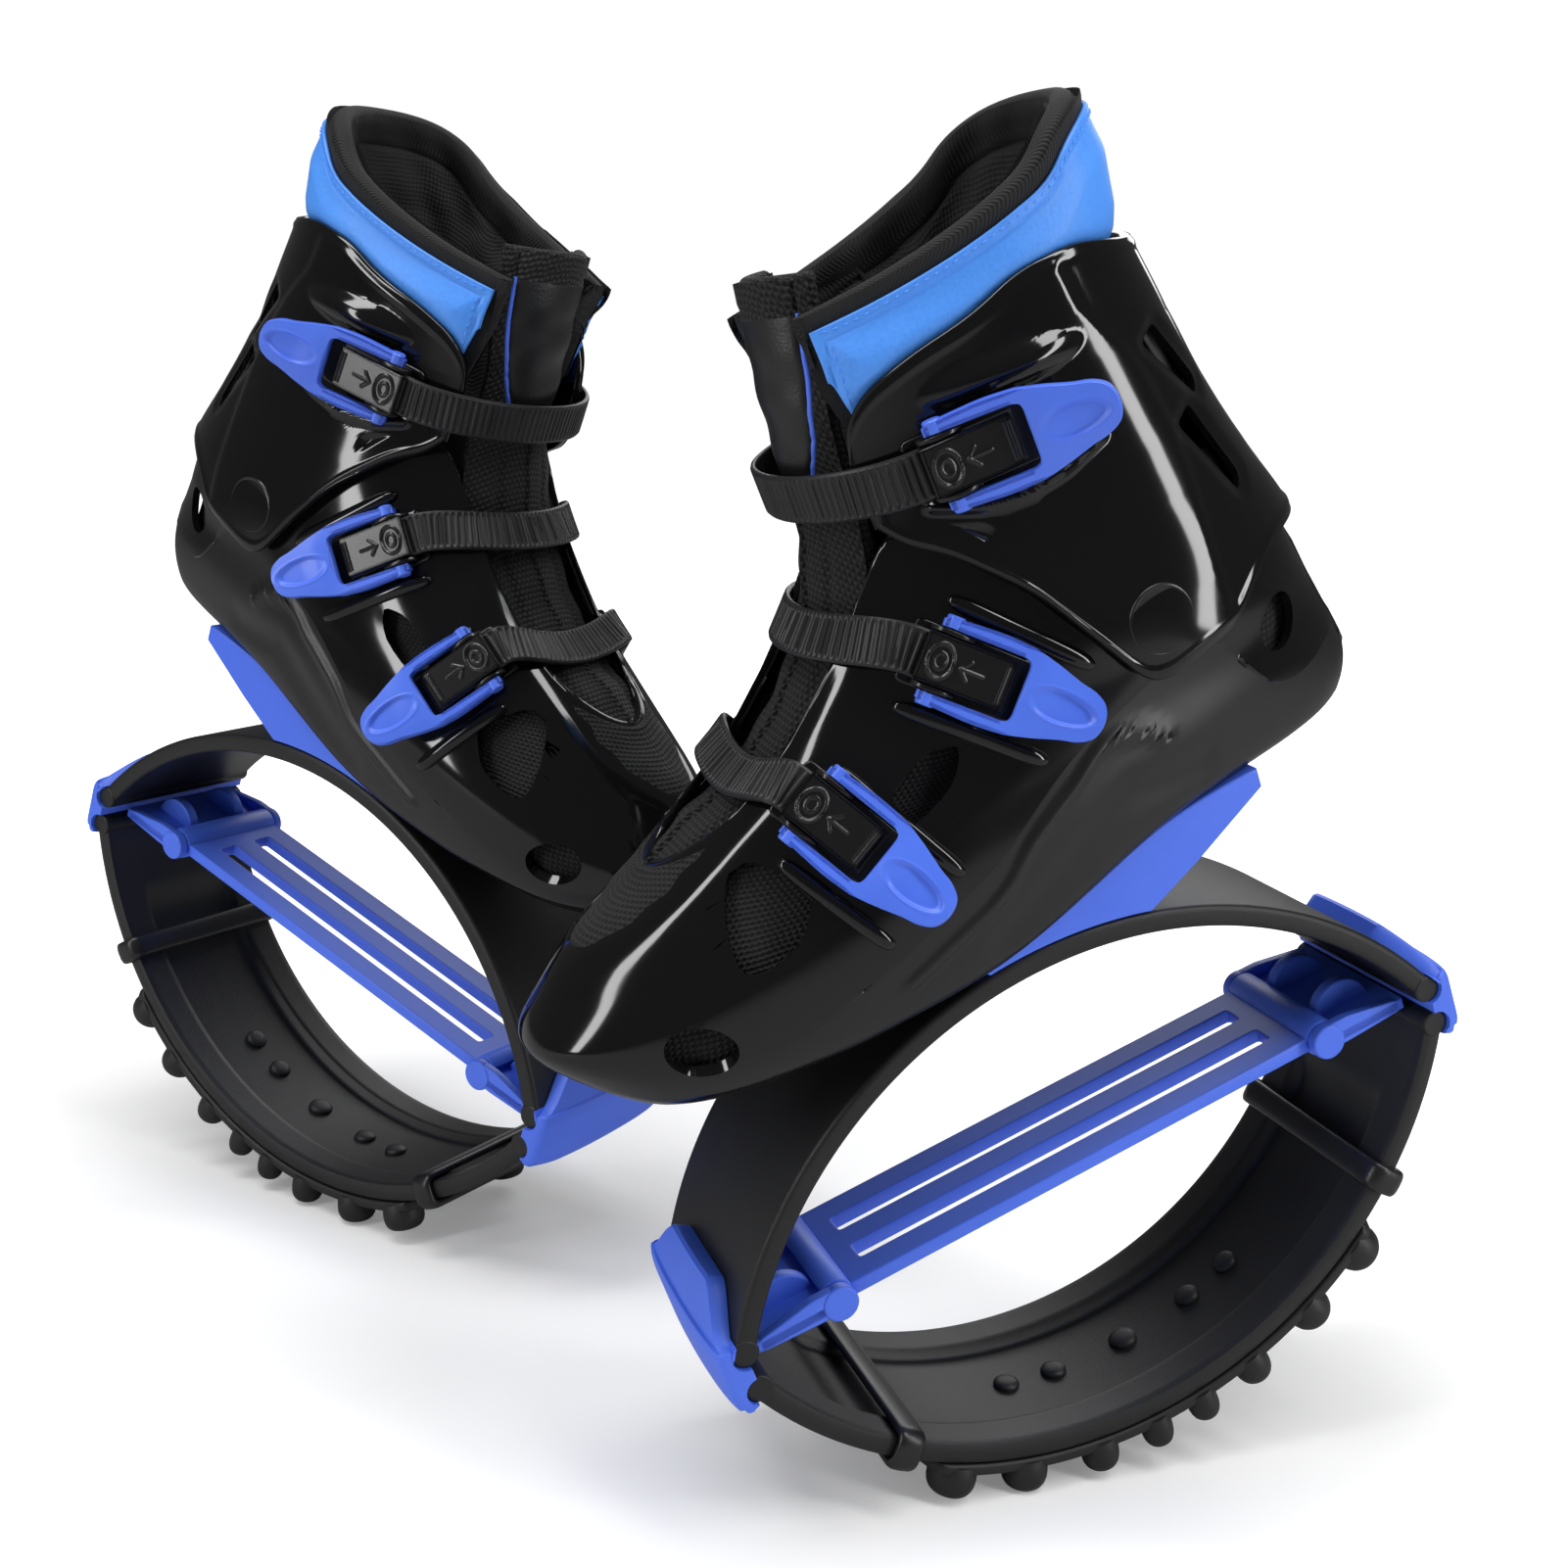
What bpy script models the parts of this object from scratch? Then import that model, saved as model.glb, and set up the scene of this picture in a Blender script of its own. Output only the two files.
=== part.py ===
"""A pair of jumping shoes: hinged boots on oval spring frames.

Each shoe is modelled once, as the left shoe, in its own axes: x runs forward to the toe,
y outward to the side with the buckles, z up, and the origin is the middle of the tension
spring. The right shoe shares those meshes under a mirrored empty. Both empties tip their
shoe forward onto its front lugs, heel in the air, and the pair is centred over the floor.
Lengths are in metres.
"""
import bpy
import bmesh
import numpy as np
from math import acos, asin, cos, pi, radians, sin, sqrt
from mathutils import Matrix, Vector

# Clearances shared by the pieces
fit_gap = 0.0003
curve_gap = 0.0005
running_gap = 0.0004
overrun = 0.004

# Spring frame: two curved leaves, held at both ends by the caps
frame_half_span = 0.1405
upper_rise = 0.083
lower_drop = 0.091
arc_width = 0.082
leaf_thickness = 0.008
bead_radius = 0.005
bead_level = 0.0075
channel_width = 0.050
channel_depth = 0.0042
channel_half_angle = radians(52)

# Tread: rubber pad under the lower leaf, with two rows of round lugs
pad_thickness = 0.0045
pad_half_angle = radians(37.5)
lug_height = 0.0095
lug_root = 0.003
lug_overhang = 0.002
lug_radius_shares = ((3.5, 0.66), (11.7, 0.78), (22.2, 0.94), (32.3, 1.0))
lug_largest_radius = 0.0092
lug_sides = 6
plug_radius = 0.005
plug_height = 0.002
plug_bore_gap = 0.0004
plug_angles = (radians(-19), radians(-11.5), radians(0), radians(11.5), radians(19))
plug_sides = 6

# Rubber bands round the lower leaf and the pad
band_width = 0.008
band_thickness = 0.003
band_gap = 0.0007
band_bevel = 0.0018
band_front_angle = radians(41.5)
band_rear_angle = radians(42.5)

# End caps and the tension spring between them
cap_width = 0.084
cap_wall = 0.0030
skirt_length = 0.017
lower_skirt_length = 0.008
nose_centre = frame_half_span
nose_radius = 0.0105
skirt_flat = 0.020
skirt_fall = 0.016
skirt_cut_setback = 0.020
skirt_cut_start = frame_half_span - skirt_cut_setback
nose_half_angle = radians(50)
web_half_thickness = 0.0022
barrel_setback = 0.038
barrel_reach = frame_half_span - barrel_setback
barrel_radius = 0.0042
arm_half_width = 0.031
arm_flange = 0.004
arm_flange_top = 0.0065
arm_flange_low = 0.0035
ear_radius = 0.012
bar_sides = 10
ear_thickness = 0.005
ear_offset = 0.014
ear_setback = 0.0165
ear_reach = barrel_reach + ear_setback
hook_wall = 0.0025
hook_opening = radians(50)
strip_thickness = 0.0050
spring_half_width = 0.0265
slot_width = 0.005
slot_end = 0.018

# Boot: the shell round the foot
boot_length = 0.328
heel_x = -0.164
sole_level = 0.096
boot_rise = 0.154
boot_half_width = 0.056
cut_reach = 2 * boot_half_width
shell_wall = 0.003
sole_thickness = 0.008
toe_inset = 0.005
shell_points = 24
hollow_points = 16
widest_ankle = -0.062

# Lines of the shell, from the sole to the rim, as shares of the boot's length and rise.
# Each row is one line round the boot: its height at the six stations, then its rear end,
# front end, half width, widest place and the power of its nose.
station_shares = (0.043, 0.287, 0.546, 0.759, 0.896, 1.0)
shell_line_shares = (
    ((0.149, 0.146, 0.016, 0.000, 0.016, 0.104), 0.047, 0.963, 0.84, 0.62, 2.4),
    ((0.175, 0.172, 0.045, 0.026, 0.045, 0.130), 0.028, 0.983, 0.91, 0.62, 2.4),
    ((0.247, 0.240, 0.136, 0.104, 0.117, 0.169), 0.014, 0.997, 0.965, 0.62, 2.4),
    ((0.338, 0.331, 0.253, 0.208, 0.195, 0.208), 0.016, 0.998, 1.00, 0.56, 2.3),
    ((0.435, 0.435, 0.377, 0.325, 0.279, 0.260), 0.030, 0.976, 0.98, 0.47, 2.1),
    ((0.532, 0.532, 0.494, 0.429, 0.364, 0.325), 0.048, 0.924, 0.97, 0.34, 1.9),
    ((0.649, 0.649, 0.610, 0.494, 0.383, 0.351), 0.065, 0.841, 0.98, 0.311, 1.7),
    ((0.766, 0.766, 0.721, 0.513, 0.416, 0.383), 0.090, 0.756, 0.94, 0.311, 1.6),
    ((0.883, 0.883, 0.818, 0.532, 0.430, 0.400), 0.116, 0.652, 0.90, 0.311, 1.6),
    ((1.000, 1.000, 0.935, 0.545, 0.450, 0.420), 0.140, 0.585, 0.865, 0.311, 1.6),
)
# The shell's upper rim, seen from the side, from the rear forward
rim_line_shares = ((-0.1, 0.86), (0.12, 0.86), (0.30, 0.92), (0.505, 0.965), (0.62, 0.99))
instep_half_width = 0.0265
instep_front = 0.101
instep_taper = 0.055
instep_low_share = 0.30
clear_share = 1.3
toe_slot_shares = (0.9, 1.1)
past_ends_shares = (-0.1, 1.2)

# Holes moulded through the shell's sides
toe_vent_centre = (0.1160, 0.1175)
toe_vent_size = (0.0115, 0.0085)
toe_vent_tilt = radians(25)
heel_hole_centre = (-0.1185, 0.1665)
heel_hole_size = (0.0085, 0.0100)
heel_hole_tilt = radians(25)
mesh_window_centre = (0.083, 0.149)
mesh_window_length = 0.034
mesh_window_width = 0.026
mesh_window_tilt = radians(-48)
mid_window_centre = (0.0230, 0.1735)
mid_window_length = 0.020
mid_window_width = 0.013
mid_window_tilt = radians(-110)
toe_slot_level = 0.108
toe_slot_length = 0.012
toe_slot_height = 0.005

# Sole pad that seats the boot on the upper leaf, and the wedge behind it
pad_rear = 0.0215
pad_front = 0.050
pad_half_width = 0.030
riser_front = 0.020
riser_rear = -0.098
riser_knee = -0.046
riser_heel_drop = 0.0075
riser_half_width = 0.041
riser_bevel = 0.0015
riser_bevel_angle = radians(60)

# Cuff: hinged on the shell at the ankle
ankle_x = -0.0686
ankle_z = 0.1922
cuff_wall = 0.0035
cuff_base_level = 0.160
cuff_height = 0.156
cuff_fit_share = 0.58
cuff_fit_height = 0.09048
cuff_half_width = 0.0613
cuff_points = 20
# Rows of the cuff: height share, rear end, front end and half-width share
cuff_line_shares = (
    (0.00, 0.034, 0.690, 0.985),
    (0.23, 0.046, 0.665, 1.000),
    (0.42, 0.080, 0.625, 0.930),
    (0.58, 0.105, 0.600, 0.865),
    (0.74, 0.124, 0.590, 0.830),
    (1.00, 0.152, 0.590, 0.830),
)
# The cuff's outline seen from the side: shares of boot length and cuff height
cuff_outline_shares = (
    (0.00, 0.885), (0.17, 0.915), (0.253, 0.962), (0.317, 0.955), (0.372, 0.910),
    (0.439, 0.878), (0.485, 0.840), (0.509, 0.788), (0.515, 0.718), (0.512, 0.577),
    (0.494, 0.526), (0.460, 0.481), (0.399, 0.353), (0.351, 0.192), (0.326, 0.109),
    (0.311, 0.080), (0.287, 0.077), (0.247, 0.096), (0.207, 0.115), (0.162, 0.192),
    (0.119, 0.231), (0.00, 0.231),
)
louvre_places_shares = ((0.165, 0.655), (0.163, 0.430))
louvre_length = 0.022
louvre_width = 0.008
louvre_tilt = radians(68)
louvre_depth = 0.040

# Ankle rivets: a flush disc with its shaft in the two walls
ankle_disc_radius = 0.0115
ankle_disc_thickness = 0.0022
ankle_disc_recess = 0.0018
ankle_shaft_radius = 0.0045
ankle_face = 0.0605
ankle_sides = 14

# Liner: a foot part in the shell and an ankle part in the cuff
liner_gap = 0.0032
foot_padding = 0.0055
liner_split_level = 0.1965
flex_wedge = radians(10)
liner_points = 16
collar_padding = 0.0085
panel_gap = 0.0012
liner_line_shares = (
    (0.00, 0.118, 0.610, 0.730, 0.0),
    (0.26, 0.158, 0.532, 0.640, 0.0),
    (0.50, 0.172, 0.572, 0.690, 0.0),
    (0.66, 0.180, 0.578, 0.690, 0.0),
    (0.74, 0.168, 0.585, 0.718, 0.8),
    (1.00, 0.158, 0.590, 0.760, 1.0),
)
liner_start = 0.028
collar_rise = 0.014
liner_base_level = cuff_base_level + liner_start
liner_height = cuff_height + collar_rise
liner_outline_shares = (
    (0.02, 0.950), (0.185, 0.960), (0.232, 0.925), (0.268, 0.870), (0.35, 0.815),
    (0.43, 0.780), (0.510, 0.755), (0.512, 0.660), (0.488, 0.480), (0.440, 0.395),
    (0.375, 0.28), (0.365, 0.00), (0.02, 0.00),
)
collar_twist = 0.008
panel_thickness = 0.0020
panel_outline_shares = (
    (0.00, 0.915), (0.17, 0.925), (0.220, 0.890), (0.258, 0.830), (0.35, 0.778),
    (0.43, 0.748), (0.508, 0.728), (0.503, 0.630), (0.488, 0.500), (0.470, 0.480),
    (0.440, 0.540), (0.30, 0.600), (0.00, 0.600),
)

# Tongue: up the instep, arched over the foot
tongue_line_shares = (
    (0.800, 0.360, 0.66, 0.0), (0.748, 0.458, 0.78, 0.0), (0.700, 0.528, 0.88, 0.0),
    (0.652, 0.604, 0.95, 0.0), (0.610, 0.695, 0.98, 0.0), (0.576, 0.806, 0.92, 0.0),
    (0.554, 0.935, 0.86, 0.0), (0.545, 1.060, 0.78, 0.0), (0.542, 1.180, 0.76, 0.0),
    (0.536, 1.330, 0.76, 0.2), (0.520, 1.520, 1.00, 1.0),
)
tongue_half_width = 0.0215
tongue_shift = 0.006
tongue_thickness = 0.008
tongue_arch = 0.013
tongue_across = 5

# Insole
insole_thickness = 0.004
insole_share = 0.9

# Buckles: the pivot's foot on the boot, then the strap's slope in the side view, how much it
# turns inward, how much the seat leans back, and how far the closed lever stands off
top_pivot = (-0.0200, 0.0475)
top_pivot_share = 0.660256
mid_pivot = (0.0010, 0.0456, 0.2055)
front_pivot = (0.0530, 0.0402, 0.1765)
top_angles = (radians(-3), radians(11), radians(4), radians(14))
mid_angles = (radians(43), radians(16), radians(3), radians(8))
front_angles = (radians(62), radians(26), radians(-2), radians(7))
strap_width = 0.016
strap_thickness = 0.0018
strap_tail = 0.024
strap_straight = 0.0085
strap_leave_share = 0.22
strap_crest_share = 0.52
strap_stations = 20
top_crest = 0.0210
top_crest_share = 0.663462
mid_crest = (0.0295, 0.2205)
front_crest = (0.0655, 0.1840)
base_length = 0.038
base_front = 0.0060
base_thickness = 0.0018
strap_level = fit_gap + base_thickness + curve_gap + strap_thickness / 2
cheek_inner = 0.0084
cheek_thickness = 0.0017
cheek_height = 0.0082
cheek_half_length = 0.0085
pin_height = 0.0050
pin_radius = 0.0017
pin_gap = 0.0006
pin_reach = 0.0030
pin_sides = 6
lever_length = 0.0545
lever_nose = 0.0036
lever_half_width = 0.0137
lever_belly = 0.0148
lever_tip_radius = 0.0075
lever_slot_half = 0.0105
lever_slot_length = 0.0265
lever_slot_corner = 0.0021
lever_nose_corner = 0.0014
lever_shoulder = 0.0160
lever_tip_half_width = 0.0086
lever_tip_start = radians(-14)
lever_thickness = 0.0052
tab_half_width = 0.0080
tab_front = 0.0070
tab_rear = 0.0220
tab_bottom = 0.0064
tab_thickness = 0.0028
tab_edge = 0.0020
tab_pivot = -0.0080
seat_margin = 0.0008
seat_depth = 0.007
seat_rear = 0.030
seat_front = 0.011
rivet_radius = 0.0052
rivet_height = 0.0022
rivet_top_radius = 0.0036
rivet_shank = 0.0022
rivet_sides = 8

# Where the two shoes stand
left_heading = radians(-159.71)
left_pitch = radians(23.29)
right_heading = radians(-32.74)
right_pitch = radians(18.26)
pair_across = 0.2974
pair_back = 0.1848

# Colours: base colour, roughness, metallic
finishes = {
    "blue frame plastic": ((0.045, 0.115, 0.72), 0.42, 0.0),
    "blue buckle plastic": ((0.07, 0.16, 0.80), 0.32, 0.0),
    "collar leatherette": ((0.09, 0.33, 0.86), 0.50, 0.0),
    "gloss black shell": ((0.012, 0.012, 0.014), 0.12, 0.0),
    "black spring leaf": ((0.018, 0.018, 0.018), 0.55, 0.0),
    "black rubber": ((0.022, 0.022, 0.024), 0.70, 0.0),
    "black mesh fabric": ((0.014, 0.014, 0.015), 0.90, 0.0),
    "matt black strap": ((0.025, 0.025, 0.027), 0.60, 0.0),
    "dark steel": ((0.05, 0.05, 0.055), 0.35, 0.9),
}


def clear_scene():
    """Empty the file, objects first."""
    for item in list(bpy.data.objects):
        bpy.data.objects.remove(item, do_unlink=True)
    for group in list(bpy.data.collections):
        bpy.data.collections.remove(group)


clear_scene()
parts = bpy.data.collections.new("jumping_shoes")
cutters = bpy.data.collections.new("cutters")
bpy.context.scene.collection.children.link(parts)
bpy.context.scene.collection.children.link(cutters)


def along(share):
    """Place along the boot, from its heel, for a share of its length."""
    return heel_x + share * boot_length


def above(share):
    """Height over the sole for a share of the shell's rise."""
    return sole_level + share * boot_rise


def finish(name):
    """Principled material of one of the finishes, made once."""
    known = bpy.data.materials.get(name)
    if known:
        return known
    colour, roughness, metallic = finishes[name]
    made = bpy.data.materials.new(name)
    made.use_nodes = True
    shader = made.node_tree.nodes["Principled BSDF"]
    shader.inputs["Base Color"].default_value = (*colour, 1.0)
    shader.inputs["Roughness"].default_value = roughness
    shader.inputs["Metallic"].default_value = metallic
    made.diffuse_color = (*colour, 1.0)
    return made


def from_bmesh(name, bm, group=cutters):
    """New object from a bmesh, its faces turned outward."""
    bm.normal_update()
    bmesh.ops.recalc_face_normals(bm, faces=bm.faces)
    mesh = bpy.data.meshes.new(name)
    bm.to_mesh(mesh)
    bm.free()
    made = bpy.data.objects.new(name, mesh)
    group.objects.link(made)
    if group is cutters:
        made.hide_render = True
        made.display_type = "WIRE"
    return made


def prism(name, outline, low, high, group=cutters):
    """A side outline of (x, z) points, extruded across the shoe from low to high."""
    bm = bmesh.new()
    face = bm.faces.new([bm.verts.new((x, low, z)) for x, z in outline])
    swept = bmesh.ops.extrude_face_region(bm, geom=[face])
    moved = [item for item in swept["geom"] if isinstance(item, bmesh.types.BMVert)]
    bmesh.ops.translate(bm, verts=moved, vec=(0, high - low, 0))
    return from_bmesh(name, bm, group)


def plan_prism(name, outline, low, high, group=cutters):
    """A plan outline of (x, y) points, extruded upward from low to high."""
    bm = bmesh.new()
    face = bm.faces.new([bm.verts.new((x, y, low)) for x, y in outline])
    swept = bmesh.ops.extrude_face_region(bm, geom=[face])
    moved = [item for item in swept["geom"] if isinstance(item, bmesh.types.BMVert)]
    bmesh.ops.translate(bm, verts=moved, vec=(0, 0, high - low))
    return from_bmesh(name, bm, group)


def cylinder(name, radius, start, end, sides, group=cutters, top_radius=None):
    """A round bar, or a cone frustum, between two points."""
    start, end = Vector(start), Vector(end)
    axis = end - start
    bm = bmesh.new()
    bmesh.ops.create_cone(bm, cap_ends=True, segments=sides, radius1=radius,
                          radius2=radius if top_radius is None else top_radius,
                          depth=axis.length)
    turn = Vector((0, 0, 1)).rotation_difference(axis).to_matrix().to_4x4()
    bm.transform(Matrix.Translation((start + end) / 2) @ turn)
    return from_bmesh(name, bm, group)


def box(name, low, high, group=cutters):
    """A box between two corners."""
    bm = bmesh.new()
    bmesh.ops.create_cube(bm, size=1.0)
    low, high = Vector(low), Vector(high)
    size = high - low
    bmesh.ops.scale(bm, verts=bm.verts, vec=size)
    bmesh.ops.translate(bm, verts=bm.verts, vec=(low + high) / 2)
    return from_bmesh(name, bm, group)


def loft(name, rings, group=cutters):
    """A closed body through like rings, its sides split the same way in every loft.

    Each end is laced across from side to side."""
    rings = np.asarray(rings)
    lines, count = rings.shape[:2]
    half = count // 2
    bm = bmesh.new()
    verts = [[bm.verts.new(point) for point in ring] for ring in rings]
    for low, high in zip(verts[:-1], verts[1:]):
        for i in range(count):
            j = (i + 1) % count
            if i < half:
                bm.faces.new((low[i], low[j], high[j]))
                bm.faces.new((low[i], high[j], high[i]))
            else:
                bm.faces.new((low[i], low[j], high[i]))
                bm.faces.new((low[j], high[j], high[i]))
    for ring in (verts[0], verts[-1]):
        bm.faces.new((ring[0], ring[1], ring[-1]))
        for i in range(1, half - 1):
            bm.faces.new((ring[i], ring[i + 1], ring[count - i - 1], ring[count - i]))
        bm.faces.new((ring[half - 1], ring[half], ring[half + 1]))
    return from_bmesh(name, bm, group)


def adopt(piece, material):
    """Move a finished body to the parts and give it its material."""
    cutters.objects.unlink(piece)
    parts.objects.link(piece)
    piece.hide_render = False
    piece.display_type = "TEXTURED"
    piece.data.materials.clear()
    piece.data.materials.append(finish(material))
    return piece


def combine(piece, other, operation):
    """Boolean of two bodies with the exact solver, written into the first."""
    tool = piece.modifiers.new(operation.lower(), "BOOLEAN")
    tool.object = other
    tool.operation = operation
    tool.solver = "EXACT"
    settle(piece)
    return piece


def settle(piece):
    """Write the modifiers into the mesh, so that the other shoe can share it."""
    bpy.context.view_layer.update()
    graph = bpy.context.evaluated_depsgraph_get()
    old = piece.data
    piece.data = bpy.data.meshes.new_from_object(piece.evaluated_get(graph))
    piece.data.name = piece.name
    piece.modifiers.clear()
    bpy.data.meshes.remove(old)


def joined(name, bodies):
    """Several separate bodies in one object."""
    bm = bmesh.new()
    for body in bodies:
        bm.from_mesh(body.data)
    return from_bmesh(name, bm)


def bevelled(piece, width, angle=radians(40)):
    """Break the sharp edges with one small chamfer."""
    tool = piece.modifiers.new("edges", "BEVEL")
    tool.width = width
    tool.segments = 1
    tool.limit_method = "ANGLE"
    tool.angle_limit = angle
    settle(piece)
    return piece


def smooth(piece, angle=radians(38)):
    """Shade round faces smooth and keep the sharp edges."""
    piece.data.shade_smooth()
    piece.data.set_sharp_from_angle(angle=angle)
    return piece


def arc(centre_x, centre_z, radius, start, end, steps):
    """Points of a circle in the side view, from one angle to another."""
    return [(centre_x + radius * cos(a), centre_z + radius * sin(a))
            for a in np.linspace(start, end, steps)]


def leaf_radius(rise):
    """Radius of a leaf that rises so far over the span of the beads."""
    return (frame_half_span ** 2 + rise ** 2) / (2 * rise)


upper_radius = leaf_radius(upper_rise)
upper_centre = bead_level + upper_rise - upper_radius
lower_radius = leaf_radius(lower_drop)
lower_centre = lower_radius - bead_level - lower_drop


def arc_height(x, offset):
    """Height of the upper leaf's surface at x, offset from its middle line."""
    return upper_centre + sqrt((upper_radius + offset) ** 2 - x ** 2)


def leaf_outline(radius, centre, steps=19):
    """A leaf with a round bead along each end, seen from the side, bowed upward."""
    half = asin(frame_half_span / radius)
    nip = acos(leaf_thickness / 2 / bead_radius)
    trim = bead_radius * sin(nip) / radius
    left, right = pi / 2 + half, pi / 2 - half
    outline = arc(0, centre, radius + leaf_thickness / 2, right + trim, left - trim, steps)
    outline += arc(radius * cos(left), centre + radius * sin(left), bead_radius,
                   left + nip, left + pi - nip, 5)[1:-1]
    outline += arc(0, centre, radius - leaf_thickness / 2, left - trim, right + trim, steps)
    outline += arc(radius * cos(right), centre + radius * sin(right), bead_radius,
                   right - pi + nip, right - nip, 5)[1:-1]
    return outline


def below(outline):
    """The same outline turned to bow downward."""
    return [(x, -z) for x, z in reversed(outline)]


def make_upper_arc():
    leaf = prism("upper_arc", leaf_outline(upper_radius, upper_centre),
                 -arc_width / 2, arc_width / 2)
    return smooth(adopt(leaf, "black spring leaf"))


def lower_place(angle, offset):
    """Point (x, z) on the lower leaf at an angle from its lowest place, offset outward."""
    reach = lower_radius + offset
    return reach * sin(angle), lower_centre - reach * cos(angle)


def lower_band(name, inner, outer, half_angle, width, steps):
    """A curved slab along the lower leaf between two offsets."""
    sweep = np.linspace(-half_angle, half_angle, steps)
    outline = [lower_place(a, outer) for a in sweep]
    outline += [lower_place(a, inner) for a in reversed(sweep)]
    return prism(name, outline, -width / 2, width / 2)


def make_lower_arc():
    leaf = prism("lower_arc", below(leaf_outline(lower_radius, -lower_centre)),
                 -arc_width / 2, arc_width / 2)
    half = leaf_thickness / 2
    channel = lower_band("channel", -half - overrun, -half + channel_depth,
                         channel_half_angle, channel_width, 15)
    combine(leaf, channel, "DIFFERENCE")
    for angle in plug_angles:
        bore = cylinder("plug_bore", plug_radius + plug_bore_gap,
                        plug_end(angle, -half - overrun), plug_end(angle, half + overrun),
                        plug_sides)
        combine(leaf, bore, "DIFFERENCE")
    return smooth(adopt(leaf, "black spring leaf"))


def plug_end(angle, offset):
    """Point on a plug's axis, offset outward from the lower leaf's middle."""
    x, z = lower_place(angle, offset)
    return (x, 0, z)


def make_lug(angle, side, radius):
    """A round lug that bulges past the pad's edge, with a flat land to tread on."""
    start = leaf_thickness / 2 + fit_gap + pad_thickness - lug_root
    y = side * (arc_width / 2 + lug_overhang - radius)
    shape_shares = ((0.85, 0.0), (1.0, 0.55), (0.72, 1.0))
    bm = bmesh.new()
    rings = []
    for width, height in shape_shares:
        x, z = lower_place(angle, start + height * (lug_height + lug_root))
        ring = []
        for i in range(lug_sides):
            turn = 2 * pi * (i + 0.5) / lug_sides
            shift = radius * width * cos(turn)
            ring.append((x + shift * cos(angle), y + radius * width * sin(turn),
                         z + shift * sin(angle)))
        rings.append([bm.verts.new(point) for point in ring])
    for low, high in zip(rings[:-1], rings[1:]):
        for i in range(lug_sides):
            j = (i + 1) % lug_sides
            bm.faces.new((low[i], low[j], high[j], high[i]))
    bm.faces.new(rings[0])
    bm.faces.new(rings[-1])
    return from_bmesh("lug", bm)


def make_tread():
    inner = leaf_thickness / 2 + curve_gap
    tread = lower_band("tread", inner, inner + pad_thickness, pad_half_angle, arc_width, 13)
    lugs = []
    for degrees, share in lug_radius_shares:
        for way in (-1, 1):
            for side in (-1, 1):
                lugs.append(make_lug(way * radians(degrees), side,
                                     share * lug_largest_radius))
    combine(tread, joined("lugs", lugs), "UNION")
    depth = -leaf_thickness / 2 + channel_depth - plug_height
    for angle in plug_angles:
        plug = cylinder("plug", plug_radius, plug_end(angle, depth),
                        plug_end(angle, inner + pad_thickness / 2), plug_sides)
        combine(tread, plug, "UNION")
    return smooth(adopt(tread, "black rubber"))


def make_band(name, angle):
    """A rubber band stretched round the lower leaf, square to it."""
    inner = -leaf_thickness / 2 - band_gap
    outer = leaf_thickness / 2 + band_gap
    wall = band_thickness
    side = arc_width / 2 + fit_gap
    outside = box(name, (-band_width / 2, -side - wall, inner - wall),
                  (band_width / 2, side + wall, outer + wall))
    bevelled(outside, band_bevel)
    hole = box("band_hole", (-band_width, -side, inner), (band_width, side, outer))
    combine(outside, hole, "DIFFERENCE")
    x, z = lower_place(angle, 0)
    outside.data.transform(Matrix.Translation((x, 0, z)) @ Matrix.Rotation(pi - angle, 4, "Y"))
    return smooth(adopt(outside, "black rubber"))


def cap_outline():
    """The front cap seen from the side: two bead sockets, their skirts and the web."""
    socket = bead_radius + running_gap
    skin = leaf_thickness / 2 + running_gap
    nip = acos(skin / socket)
    trim = socket * sin(nip)
    span = frame_half_span
    upper_end = pi / 2 - asin(span / upper_radius)
    lower_end = asin(span / lower_radius) - pi / 2
    upper_top = upper_end + skirt_length / upper_radius
    lower_low = lower_end - lower_skirt_length / lower_radius
    outer = skin + cap_wall
    outline = [(barrel_reach, web_half_thickness), (span, web_half_thickness)]
    outline[-1] = (span, bead_level - socket)
    outline += arc(span, bead_level, socket, -pi / 2, upper_end + nip, 7)[1:]
    outline += arc(0, upper_centre, upper_radius + skin, upper_end + trim / upper_radius,
                   upper_top, 3)[1:]
    outline += arc(0, upper_centre, upper_radius + outer, upper_top, upper_end, 3)
    outline += arc(nose_centre, 0, nose_radius, nose_half_angle, -nose_half_angle, 5)
    outline += arc(0, lower_centre, lower_radius + outer, lower_end, lower_low, 3)
    outline += arc(0, lower_centre, lower_radius + skin, lower_low,
                   lower_end - trim / lower_radius, 3)
    outline += arc(span, -bead_level, socket, lower_end - nip, pi / 2, 7)[1:]
    outline.append((barrel_reach, -web_half_thickness))
    return outline


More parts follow.
